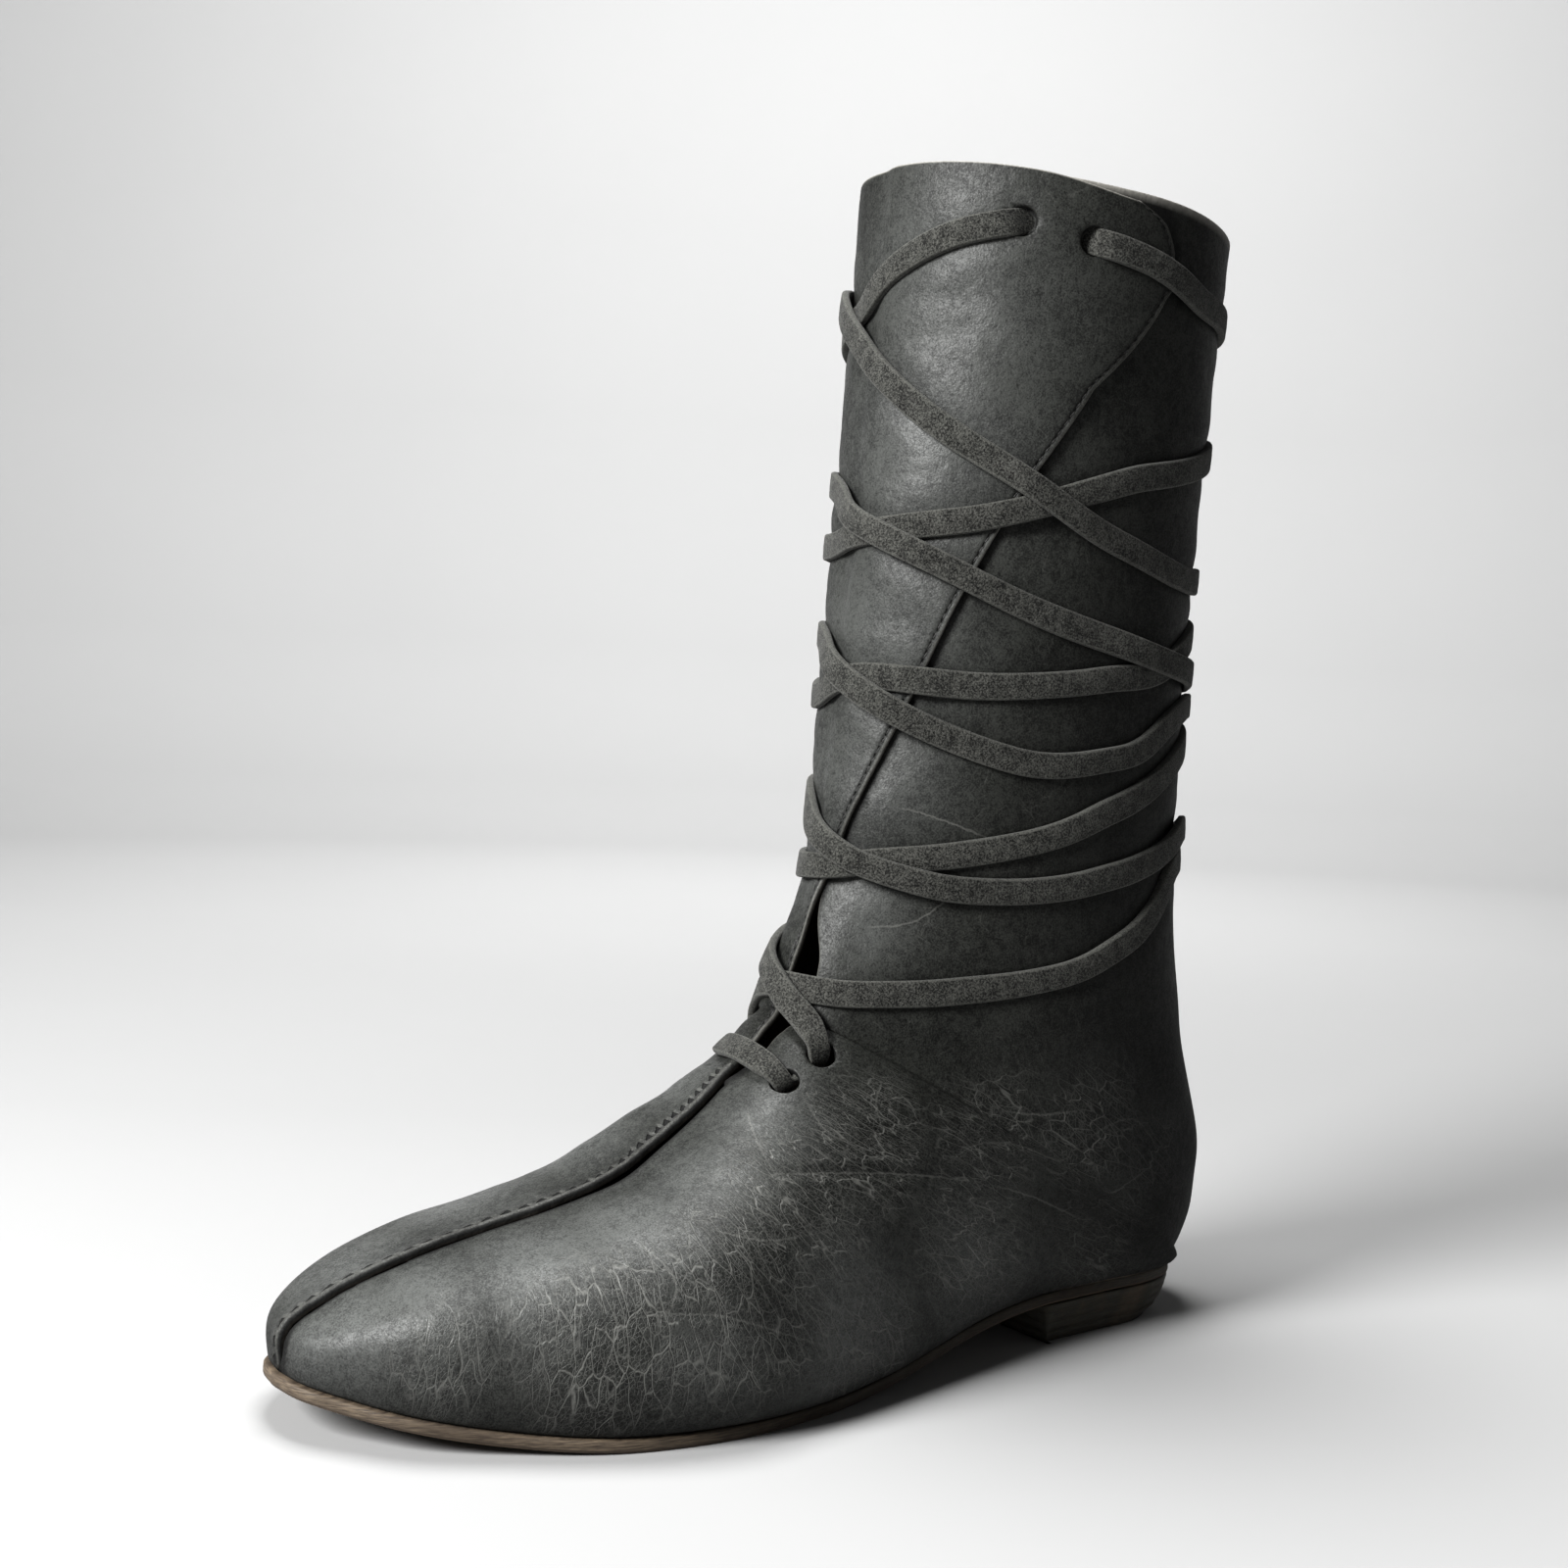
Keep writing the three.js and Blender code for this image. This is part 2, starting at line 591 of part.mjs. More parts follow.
// Even steps along a strand's route, with the directions of the strap at each.
function route(strand) {
  const rows = table(['row', 'around'], strand);
  const fine = [];
  for (let i = 0; i <= (rows.length - 1) * FINE; i += 1) {
    const u = between(rows, 'row', i / FINE);
    const a = wrapped(between(rows, 'around', i / FINE));
    fine.push({ u, a, place: last(u, a) });
  }
  const length = [0];
  for (let i = 1; i < fine.length; i += 1) {
    length.push(length[i - 1] + fine[i].place.distanceTo(fine[i - 1].place));
  }
  const whole = length[length.length - 1];
  const count = Math.ceil(whole / LACE_STEP);
  const picks = Array.from({ length: count + 1 }, (_, i) => {
    const k = length.findIndex((run) => run >= (whole * i) / count - WELD);
    return { ...fine[k], out: outward(fine[k].u, fine[k].a) };
  });
  picks.forEach((pick, i) => {
    const ahead = picks[Math.min(count, i + 1)].place;
    const behind = picks[Math.max(0, i - 1)].place;
    pick.run = ahead.clone().sub(behind).normalize();
    pick.across = pick.run.clone().cross(pick.out).normalize();
    pick.off = standOff(pick, pick.run, pick.across);
  });
  return picks;
}

// A flat strap along a route, resting on the leather plus any extra rise.
function strap(picks, extraAt) {
  const points = [];
  for (const { place, out, across, off } of picks) {
    const foot = off + extraAt(place);
    for (const [side, up] of [[-1, 0], [1, 0], [1, LACE_THICKNESS], [-1, LACE_THICKNESS]]) {
      const corner = place.clone().addScaledVector(across, (side * LACE_WIDTH) / 2);
      points.push(corner.addScaledVector(out, foot + up));
    }
  }
  const faces = [[0, 1, 2], [0, 2, 3]];
  const end = points.length - 4;
  faces.push([end, end + 2, end + 1], [end, end + 3, end + 2]);
  for (let i = 0; i < end; i += 4) {
    for (let j = 0; j < 4; j += 1) {
      const k = (j + 1) % 4;
      faces.push([i + j, i + 4 + j, i + 4 + k], [i + j, i + 4 + k, i + k]);
    }
  }
  return toSolid(solidFrom(points, faces));
}

const CROSS_BITE = 0.35;
const CROSS_FLAT = 0.8 * LACE_WIDTH;
const CROSS_END = 1.8 * LACE_WIDTH;

function laceWraps() {
  const under = route(UNDER_STRAND);
  const over = route(OVER_STRAND);
  const climb = (place) => {
    const nearest = Math.min(...under.map((pick) => pick.place.distanceTo(place)));
    const rise = LACE_THICKNESS - CROSS_BITE;
    return rise * smooth((CROSS_END - nearest) / (CROSS_END - CROSS_FLAT));
  };
  return toGeometry(strap(under, () => 0).add(strap(over, climb)));
}

const throatBar = () => toGeometry(strap(route(THROAT_BAR), () => 0));

const boot = new THREE.Group();
const addPiece = (name, geometry, color, roughness) => {
  const material = new THREE.MeshStandardMaterial({ color, roughness, metalness: 0 });
  const mesh = new THREE.Mesh(geometry, material);
  mesh.name = name;
  boot.add(mesh);
};
addPiece('upper', upper(), 0x2b2b2c, 0.55);
addPiece('insole', insole(), 0x8a6f52, 0.8);
addPiece('outsole', outsole(), 0x7c5e42, 0.75);
addPiece('heel', heel(), 0x3a2c20, 0.7);
addPiece('lace_wraps', laceWraps(), 0x333334, 0.9);
addPiece('lace_bar', throatBar(), 0x333334, 0.9);

export default boot;
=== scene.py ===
"""Lace-up mid-calf boot for the left foot, dressed around its packed construction model.

Lengths are in millimetres until a mesh is written, and the frame is the model's own:
Z up, toe toward -Y, outer side toward +X, origin under the middle of the heel.
"""
import math
from functools import lru_cache

import bmesh
import bpy
import numpy as np
from mathutils import Matrix, Vector
from mathutils.kdtree import KDTree


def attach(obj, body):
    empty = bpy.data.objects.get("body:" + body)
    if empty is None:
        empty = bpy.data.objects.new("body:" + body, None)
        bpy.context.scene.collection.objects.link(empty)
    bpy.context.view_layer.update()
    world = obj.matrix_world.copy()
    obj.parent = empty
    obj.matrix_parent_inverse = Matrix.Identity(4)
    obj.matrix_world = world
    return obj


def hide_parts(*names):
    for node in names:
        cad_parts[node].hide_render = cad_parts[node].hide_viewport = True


bl_info = {
    "name": "Lace-up mid-calf boot",
    "version": (1, 0, 0),
    "blender": (4, 5, 0),
    "location": "View3D > Sidebar > Boot",
    "description": "Dresses a lace-up boot in leather, suede lace and a stacked heel",
    "category": "Add Mesh",
}

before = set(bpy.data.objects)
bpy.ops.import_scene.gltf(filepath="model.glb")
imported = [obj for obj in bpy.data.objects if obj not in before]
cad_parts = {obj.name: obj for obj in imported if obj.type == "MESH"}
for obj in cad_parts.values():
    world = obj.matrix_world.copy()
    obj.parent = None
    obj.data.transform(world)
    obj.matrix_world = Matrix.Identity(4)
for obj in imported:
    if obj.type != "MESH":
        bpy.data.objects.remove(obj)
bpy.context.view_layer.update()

MM = 0.001

# Driving sizes of the boot.
SOLE_LENGTH = 290
BALL_WIDTH = 108
INSTEP_HEIGHT = 96
SHAFT_WIDTH = 106
SHAFT_DEPTH = 112
COLLAR_HEIGHT = 337
COLLAR_DROP = 7
HEEL_HEIGHT = 12
HEEL_LENGTH = 70
HEEL_TAPER = 2
SOLE_THICKNESS = 3.5
SOLE_EDGE = 1.6
TOE_SPRING = 11
LEATHER = 2
FIT_GAP = 0.3
HOLE_DIAMETER = 8.2
LACE_WIDTH = 7.5
LACE_THICKNESS = 2.4


def clamp01(t):
    return np.clip(t, 0, 1)


def smooth(t):
    t = clamp01(t)
    return t * t * (3 - 2 * t)


def mix(a, b, t):
    return a * (1 - t) + b * t


def length_of(vectors):
    return np.linalg.norm(vectors, axis=-1)


def unit(vectors):
    return vectors / np.maximum(length_of(vectors), 1e-12)[..., None]


def bell(distance, width, power=2):
    """A soft hump round zero."""
    return np.exp(-((distance / width) ** power))


def steps_along(places):
    """How far along a line each of its places lies."""
    return np.concatenate([[0], np.cumsum(length_of(np.diff(places, axis=0)))])


def evenly(length, step, values):
    """Values at even steps along a line that has them at the given lengths."""
    count = int(length[-1] / step)
    return np.interp(np.linspace(0, length[-1], count + 1), length, values)


def points_at(at, length, points):
    """Points at some lengths along a line, straight between its own."""
    return np.stack([np.interp(at, length, part) for part in points.T], axis=-1)


def table(columns, rows):
    """Rows of numbers under named columns."""
    return dict(zip(columns, np.array(rows, float).T))


def between(rows, key, at):
    """A smooth value between the rows of a table, at a row number."""
    values = rows[key]
    end = len(values) - 1
    at = np.asarray(at, float)
    i = np.clip(np.floor(at).astype(int), 0, end - 1)
    t = at - i
    p1 = values[i]
    p2 = values[i + 1]
    p0 = np.where(i > 0, values[np.maximum(i - 1, 0)], 2 * p1 - p2)
    p3 = np.where(i < end - 1, values[np.minimum(i + 2, end)], 2 * p2 - p1)
    bend = (p2 - p0) * t + (2 * p0 - 5 * p1 + 4 * p2 - p3) * t**2
    return 0.5 * (2 * p1 + bend + (3 * p1 - p0 - 3 * p2 + p3) * t**3)


# The sole's underside by its share of the length: heel seat, arch, flat tread, toe spring.
SEAT_END = 0.22
TREAD_START = 0.56
TREAD_END = 0.73


def world_y(along):
    """Places along the boot are measured forward from the back of the sole."""
    return HEEL_LENGTH / 2 - along


def sole_under(along):
    share = np.asarray(along) / SOLE_LENGTH
    arch = HEEL_HEIGHT * smooth((TREAD_START - share) / (TREAD_START - SEAT_END))
    spring = TOE_SPRING * np.maximum(0, (share - TREAD_END) / (1 - TREAD_END)) ** 2
    return arch + spring


def sole_top(along):
    return sole_under(along) + SOLE_THICKNESS


def feather(along):
    return sole_top(along) + FIT_GAP


# Sections of the foot, toe to heel: each leans from the sole line up to the vamp's ridge.
# back and front are shares of the sole's length, rise of the instep's height, left, right,
# shift and seam of the ball's width, base of the reach; square above 2 is boxier.
FOOT = table(
    ["back", "front", "rise", "left", "right", "base", "belly", "square", "shift", "seam"],
    [
        [0.993, 0.993, 0.000, 0.010, 0.010, 0.80, 0.40, 2.2, -0.040, 0.000],
        [0.986, 0.988, 0.110, 0.120, 0.125, 0.84, 0.40, 2.7, -0.044, 0.020],
        [0.962, 0.962, 0.190, 0.222, 0.235, 0.86, 0.38, 3.0, -0.048, 0.035],
        [0.921, 0.921, 0.285, 0.325, 0.335, 0.88, 0.34, 3.2, -0.032, 0.050],
        [0.855, 0.852, 0.390, 0.418, 0.425, 0.90, 0.32, 3.3, -0.016, 0.060],
        [0.752, 0.767, 0.480, 0.510, 0.496, 0.91, 0.30, 3.3, 0.020, 0.060],
        [0.628, 0.700, 0.550, 0.550, 0.492, 0.86, 0.28, 3.3, 0.042, 0.050],
        [0.483, 0.645, 0.640, 0.495, 0.441, 0.80, 0.28, 3.2, 0.040, 0.040],
        [0.328, 0.592, 0.740, 0.411, 0.410, 0.77, 0.28, 3.0, 0.020, 0.040],
        [0.166, 0.547, 0.850, 0.367, 0.395, 0.79, 0.28, 2.8, 0.005, 0.035],
        [0.078, 0.520, 0.930, 0.370, 0.385, 0.72, 0.30, 2.5, 0.003, 0.020],
        [0.030, 0.508, 0.970, 0.378, 0.378, 0.49, 0.28, 2.3, 0.002, 0.010],
    ],
)

# Sections of the shaft, heel to collar: back is a share of the shaft's depth, lean puts
# the front between throat and collar, backUp and frontUp are shares of the way up.
SHAFT = table(
    ["back", "lean", "backUp", "frontUp", "left", "right", "belly", "square"],
    [
        [0.030, 1.00, 0.000, 0.00, 0.390, 0.382, 0.25, 2.2],
        [-0.054, 0.84, 0.038, 0.06, 0.398, 0.380, 0.36, 2.1],
        [-0.066, 0.60, 0.104, 0.14, 0.408, 0.382, 0.42, 2.0],
        [0.014, 0.46, 0.220, 0.25, 0.410, 0.404, 0.46, 2.0],
        [0.068, 0.35, 0.364, 0.39, 0.426, 0.434, 0.50, 2.0],
        [0.088, 0.22, 0.554, 0.58, 0.454, 0.468, 0.50, 2.0],
        [0.072, 0.10, 0.760, 0.79, 0.490, 0.482, 0.50, 2.0],
        [0.036, 0.00, 1.000, 1.00, 0.530, 0.486, 0.50, 2.0],
    ],
)

HEEL_END = len(FOOT["back"])
COLLAR = HEEL_END + len(SHAFT["back"]) - 1
THROAT_ALONG = FOOT["front"][-1] * SOLE_LENGTH
COLLAR_ALONG = (SHAFT["back"][-1] + 1) * SHAFT_DEPTH
SEAT_UP = feather(0)
THROAT_UP = feather(THROAT_ALONG) + INSTEP_HEIGHT


def section_table():
    """All sections, toe to collar, in millimetres."""
    none = np.zeros(len(SHAFT["back"]))
    foot = {
        "backY": FOOT["back"] * SOLE_LENGTH,
        "backZ": feather(FOOT["back"] * SOLE_LENGTH),
        "frontY": FOOT["front"] * SOLE_LENGTH,
        "frontZ": feather(FOOT["front"] * SOLE_LENGTH) + FOOT["rise"] * INSTEP_HEIGHT,
        "left": FOOT["left"] * BALL_WIDTH,
        "right": FOOT["right"] * BALL_WIDTH,
        "base": FOOT["base"],
        "belly": FOOT["belly"],
        "square": FOOT["square"],
        "shift": FOOT["shift"] * BALL_WIDTH,
        "seam": FOOT["seam"] * BALL_WIDTH,
    }
    shaft = {
        "backY": SHAFT["back"] * SHAFT_DEPTH,
        "backZ": mix(SEAT_UP, COLLAR_HEIGHT - COLLAR_DROP, SHAFT["backUp"]),
        "frontY": mix(COLLAR_ALONG, THROAT_ALONG, SHAFT["lean"]),
        "frontZ": mix(THROAT_UP, COLLAR_HEIGHT, SHAFT["frontUp"]),
        "left": SHAFT["left"] * SHAFT_WIDTH,
        "right": SHAFT["right"] * SHAFT_WIDTH,
        "base": none,
        "belly": SHAFT["belly"],
        "square": SHAFT["square"],
        "shift": none,
        "seam": none,
    }
    return {key: np.concatenate([foot[key], shaft[key]]) for key in foot}


SECTIONS = section_table()
LOW_SHARE = 0.42


def last(row, around):
    """The outside of the last: around is 0 on the ridge or front, 1 at the lower edge or
    back on the left, -1 at the same place on the right."""
    row, around = np.broadcast_arrays(np.asarray(row, float), np.asarray(around, float))
    at = {key: between(SECTIONS, key, row) for key in SECTIONS}
    up = 1 - np.abs(around)
    low = up < LOW_SHARE
    turn = clamp01(up / LOW_SHARE) * math.pi / 2
    base = clamp01(at["base"])
    low_out = base + (1 - base) * np.sin(turn)
    low_rise = at["belly"] * (1 - np.cos(turn))
    turn = clamp01((up - LOW_SHARE) / (1 - LOW_SHARE)) * math.pi / 2
    c = np.maximum(0, np.cos(turn))
    s = np.sin(turn)
    reach = (c ** at["square"] + s ** at["square"]) ** (-1 / at["square"])
    high_out = c * reach
    high_rise = at["belly"] + (1 - at["belly"]) * s * reach
    out = np.where(low, low_out, high_out)
    rise = np.where(low, low_rise, high_rise)
    seam = np.where(low, 0, at["seam"] * (1 - high_out**2))
    side = np.where(around > 0, at["left"], -at["right"])
    back_z = np.where(row < HEEL_END, feather(at["backY"]), at["backZ"])
    return np.stack(
        [
            at["shift"] + side * out + seam,
            world_y(mix(at["backY"], at["frontY"], rise)),
            mix(back_z, at["frontZ"], rise),
        ],
        axis=-1,
    )


STEP_UP = 0.15
STEP_ROUND = 0.01


def outward(row, around):
    """The last's outward direction, by small steps either way."""
    row, around = np.broadcast_arrays(np.asarray(row, float), np.asarray(around, float))
    step = np.minimum(STEP_UP, row / 2)
    by_row = last(np.minimum(COLLAR, row + step), around) - last(row - step, around)
    ahead = np.minimum(1, around + STEP_ROUND)
    back = np.maximum(-1, around - STEP_ROUND)
    normal = np.cross(last(row, ahead) - last(row, back), by_row)
    at_back = (np.abs(around) == 1) & (row >= HEEL_END)
    normal[..., 0] = np.where(at_back, 0, normal[..., 0])
    return unit(normal)


# Front edges of the two panels above the throat: near is the left panel, which lies
# underneath, and flap the right panel, which wraps over to the left side.
EDGES = table(
    ["row", "near", "flap"],
    [
        [8.8, 0.000, 0.000],
        [9.2, 0.045, 0.000],
        [10.0, 0.068, 0.002],
        [12.0, 0.105, 0.020],
        [13.0, 0.098, 0.032],
        [13.6, 0.050, 0.038],
        [14.2, 0.036, 0.055],
        [15.0, 0.034, 0.107],
        [16.0, 0.034, 0.197],
        [17.0, 0.034, 0.308],
        [18.0, 0.034, 0.460],
        [18.6, 0.034, 0.585],
        [18.8, 0.034, 0.588],
        [18.93, 0.034, 0.560],
        [19.0, 0.034, 0.500],
    ],
)
THROAT = EDGES["row"][0]


def edge_at(key, row):
    row = np.asarray(row, float)
    place = np.interp(row, EDGES["row"], np.arange(len(EDGES["row"])))
    return np.where(row <= THROAT, 0, between(EDGES, key, place))


# Relief of the worn leather, by section row and place round it. Each fold is an arc
# through three places: a positive depth is a trough, a negative one a soft ridge.
FOLDS = table(
    ["row0", "place0", "row1", "place1", "row2", "place2", "depth", "width"],
    [
        [7.23, 0.246, 8.39, 0.380, 9.19, 0.469, 0.55, 1.5],
        [9.19, 0.469, 9.57, 0.526, 9.83, 0.614, 0.45, 1.5],
        [4.76, 0.389, 5.79, 0.431, 6.74, 0.589, 0.55, 1.5],
        [9.00, 0.417, 10.21, 0.423, 12.47, 0.489, 0.35, 1.8],
        [12.47, 0.489, 13.36, 0.589, 13.15, 0.660, 0.35, 1.8],
        [13.67, 0.154, 14.01, 0.234, 14.71, 0.320, 0.50, 1.6],
        [18.24, 0.020, 18.26, 0.110, 18.27, 0.230, 0.14, 2.4],
        [17.99, 0.020, 18.01, 0.140, 18.15, 0.270, 0.16, 2.4],
        [5.20, 0.180, 5.60, 0.340, 5.75, 0.560, 0.30, 2.6],
        [5.90, 0.160, 6.40, 0.330, 6.80, 0.560, 0.35, 2.8],
        [6.70, 0.150, 7.20, 0.330, 7.70, 0.560, 0.35, 3.0],
        [4.40, 0.200, 4.70, 0.380, 4.80, 0.580, 0.25, 2.6],
        [13.40, 0.110, 13.45, 0.230, 14.20, 0.350, 0.90, 8.0],
        [12.30, 0.180, 12.60, 0.330, 13.00, 0.480, 0.60, 9.0],
        [14.69, 0.117, 15.34, 0.229, 15.60, 0.446, -0.80, 8.0],
        [16.50, 0.200, 16.57, 0.320, 16.59, 0.423, -0.60, 9.0],
        [11.50, 0.180, 12.20, 0.350, 12.30, 0.520, -0.60, 8.0],
        [12.90, -0.130, 12.90, -0.300, 13.60, -0.480, 0.80, 6.0],
        [11.20, -0.180, 12.00, -0.330, 12.40, -0.520, -0.60, 8.0],
        [13.90, -0.120, 14.10, -0.320, 14.40, -0.560, 0.60, 5.0],
        [5.40, -0.200, 5.80, -0.380, 6.00, -0.580, 0.40, 2.8],
        [6.20, -0.180, 6.80, -0.360, 7.10, -0.580, 0.40, 3.0],
        [7.00, -0.170, 7.70, -0.360, 8.10, -0.580, 0.35, 3.0],
        [7.60, -0.260, 8.60, -0.400, 9.60, -0.520, 0.45, 1.6],
        [13.20, -0.760, 13.60, -0.900, 13.50, -1.000, 0.35, 7.0],
        [13.20, 0.760, 13.60, 0.900, 13.50, 1.000, 0.35, 7.0],
        [14.60, 0.620, 14.80, 0.800, 14.60, 0.980, 0.50, 8.0],
        [15.70, -0.400, 15.50, -0.560, 15.70, -0.760, 0.60, 9.0],
        [17.60, -0.200, 17.50, -0.400, 17.70, -0.600, 0.50, 10.0],
        [8.28, 0.106, 7.60, 0.230, 7.27, 0.346, 0.15, 1.4],
        [8.75, 0.215, 8.45, 0.290, 8.60, 0.360, 0.15, 1.4],
        [10.10, 0.277, 9.40, 0.300, 8.90, 0.340, 0.15, 1.4],
        [6.10, 0.250, 6.60, 0.330, 7.23, 0.380, 0.15, 1.4],
        [5.30, 0.200, 5.45, 0.330, 5.26, 0.403, 0.15, 1.4],
        [12.20, 0.386, 12.60, 0.450, 13.10, 0.520, 0.15, 1.4],
        [11.60, 0.520, 12.40, 0.560, 13.00, 0.640, 0.15, 1.4],
        [15.05, 0.180, 15.12, 0.260, 15.20, 0.380, 0.20, 1.6],
        [14.30, 0.130, 14.42, 0.190, 14.38, 0.260, 0.20, 1.6],
        [4.20, -0.120, 6.20, -0.130, 8.00, -0.120, -1.50, 13.0],
        [12.95, 0.780, 13.00, 0.900, 13.00, 1.000, -0.40, 9.0],
        [12.95, -0.780, 13.00, -0.900, 13.00, -1.000, -0.40, 9.0],
        [5.60, -0.130, 7.20, -0.130, 8.90, -0.120, -2.50, 13.0],
    ],
)
FOLD_POINTS = 13
# A fold's trough has a bank on either side: its share of the depth and its place.
BANK, BANK_PLACE = 0.35, 1.9
FINE_FOLD = 2.2
CREASE_REACH = 2.2
FAR_AWAY = 50
EDGE_REST = 7

# Where the leather's finish and its painted sheen change, as round zones: radius in millimetres.
CRACKLE_ZONES = table(
    ["row", "place", "radius", "strength"],
    [
        [7.4, 0.32, 27, 0.95],
        [6.2, 0.42, 32, 0.95],
        [4.8, 0.46, 30, 0.85],
        [3.2, 0.52, 22, 0.60],
        [8.6, 0.34, 24, 0.90],
        [8.4, 0.54, 28, 0.85],
        [7.0, 0.66, 26, 0.70],
        [10.2, 0.42, 24, 0.75],
        [12.8, 0.52, 24, 0.80],
        [13.2, 0.64, 20, 0.65],
        [9.6, 0.68, 28, 0.60],
        [14.0, 0.26, 22, 0.35],
        [6.2, -0.46, 34, 0.85],
        [4.6, -0.50, 28, 0.65],
        [8.5, -0.48, 32, 0.75],
        [12.8, -0.56, 26, 0.60],
        [9.6, -0.70, 30, 0.55],
        [12.6, 0.92, 26, 0.50],
        [12.6, -0.92, 26, 0.50],
    ],
)
# Painted sheen where the light falls on the toe, the top of the vamp and the front of the shaft;
# the same zones make the leather a little glossier.
SHEEN_AND_POLISH_ZONES = table(
    ["row", "place", "radius", "strength"],
    [
        [1.3, 0.30, 12, 1.00],
        [2.2, 0.24, 17, 0.95],
        [3.3, 0.20, 21, 0.90],
        [4.4, 0.20, 23, 1.00],
        [5.5, 0.18, 22, 0.95],
        [6.7, 0.17, 20, 0.85],
        [8.0, 0.18, 17, 0.80],
        [3.0, -0.16, 20, 0.80],
        [4.6, -0.18, 20, 0.85],
        [6.4, -0.18, 18, 0.80],
        [8.0, -0.15, 16, 0.70],
        [5.6, 0.50, 18, 0.50],
        [7.0, 0.55, 22, 0.95],
        [8.2, 0.60, 20, 0.75],
        [18.2, 0.25, 30, 0.40],
        [13.8, 0.16, 15, 0.55],
        [14.4, 0.00, 24, 0.45],
        [15.2, 0.18, 18, 0.45],
        [15.3, 0.00, 28, 0.45],
        [16.4, 0.06, 32, 0.50],
        [17.5, 0.12, 38, 0.55],
        [18.5, 0.10, 34, 0.45],
    ],
)


def distance_to_arc(points, out, fold):
    """Distance to one fold's arc, the share of the way along it and the side of it."""
    knots = table(
        ["row", "place"],
        [[fold[f"row{k}"], fold[f"place{k}"]] for k in range(3)],
    )
    at = np.linspace(0, 2, FOLD_POINTS)
    arc = last(between(knots, "row", at), between(knots, "place", at))
    near = np.full(points.shape[:-1], np.inf)
    along = np.zeros(points.shape[:-1])
    side = np.ones(points.shape[:-1])
    for k, (start, end) in enumerate(zip(arc[:-1], arc[1:])):
        run = end - start
        t = clamp01(((points - start) @ run) / (run @ run))
        gap = length_of(points - start - t[..., None] * run)
        closer = gap < near
        near = np.where(closer, gap, near)
        along = np.where(closer, (k + t) / (FOLD_POINTS - 1), along)
        above = np.sign((np.cross(run, points - start) * out).sum(-1))
        side = np.where(closer, above, side)
    return near, along, side


def fold_relief(points, out):
    """Height of the folds, strength of the fine creases and distance across them."""
    height = np.zeros(points.shape[:-1])
    crease = np.zeros(points.shape[:-1])
    nearest = np.full(points.shape[:-1], float(FAR_AWAY))
    for k in range(len(FOLDS["depth"])):
        fold = {key: FOLDS[key][k] for key in FOLDS}
        near, along, side = distance_to_arc(points, out, fold)
        over_back = abs(fold["place2"]) == 1
        fade = smooth(4 * along) * (1 if over_back else smooth(4 * (1 - along)))
        share = near / fold["width"]
        trough = bell(share, 1) - BANK * bell(share - BANK_PLACE, 1)
        height -= fold["depth"] * fade * trough
        if fold["width"] < FINE_FOLD:
            crease = np.maximum(crease, fade * bell(near, CREASE_REACH, 4))
            nearest = np.where(near < np.abs(nearest), near * side, nearest)
    return height, crease, nearest


WAVES = table(
    ["x", "y", "z", "turn", "height"],
    [
        [0.11, 0.07, 0.05, 0.3, 0.16],
        [-0.06, 0.12, 0.08, 1.7, 0.14],
        [0.05, -0.09, 0.13, 2.9, 0.14],
        [0.19, 0.13, -0.11, 4.1, 0.08],
        [-0.15, 0.10, 0.21, 5.0, 0.08],
        [0.09, 0.23, 0.17, 0.9, 0.06],
    ],
)


def uneven(points):
    """The slow unevenness of soft leather."""
    height = np.zeros(points.shape[:-1])
    for k in range(len(WAVES["x"])):
        direction = np.array([WAVES[axis][k] for axis in "xyz"])
        height += WAVES["height"][k] * np.sin(points @ direction + WAVES["turn"][k])
    return height


def in_zones(points, zones):
    strength = np.zeros(points.shape[:-1])
    for k in range(len(zones["row"])):
        gap = length_of(points - last(zones["row"][k], zones["place"][k]))
        strength = np.maximum(strength, zones["strength"][k] * bell(gap, zones["radius"][k]))
    return strength


# How far each panel stands off the last. Reaches along the boot are in section rows.
WIDEST_LAP = 0.08
SEAM_LAP = 4
FLAP_RAMP = 0.07
FLAP_LIFT = LEATHER + 0.25
LAP_DIP = 1.5
LAP_VALLEY = 2.4
LAP_RAGGED = 0.28
NEAR_LAP_END = 0.6
FAR_LAP_END = 1.5
STITCH_LINE = 2.7
STITCH_PITCH = 5.4
HEM_START = 0.6
EDGE_STITCH_LINE = 1.5
EDGE_STITCH_GROOVE = 0.4
# The seam's lap stands up and slopes away; humps and grooves run along it. Each has a
# height, a distance from the lap's edge and a width.
LAP_HEIGHT, LAP_TOP, LAP_SLOPE = 1.5, 1.5, 10
LAP_HUMPS = [(0.75, LAP_TOP, 1.2), (-0.50, STITCH_LINE, 0.6), (0.20, 5.2, 1.2)]


def lap_share(row):
    per_unit = between(SECTIONS, "left", row) * math.pi / 2 / (1 - LOW_SHARE)
    return np.minimum(WIDEST_LAP, SEAM_LAP / per_unit)


def near_rise(row, around, from_edge):
    """The left panel dips under the lap of the seam."""
    ends = smooth(row) * (1 - smooth((row - THROAT) / NEAR_LAP_END))
    past_seam = np.where(around < 0, 0, from_edge)
    return -LAP_DIP * ends * (1 - smooth(past_seam / LAP_VALLEY))


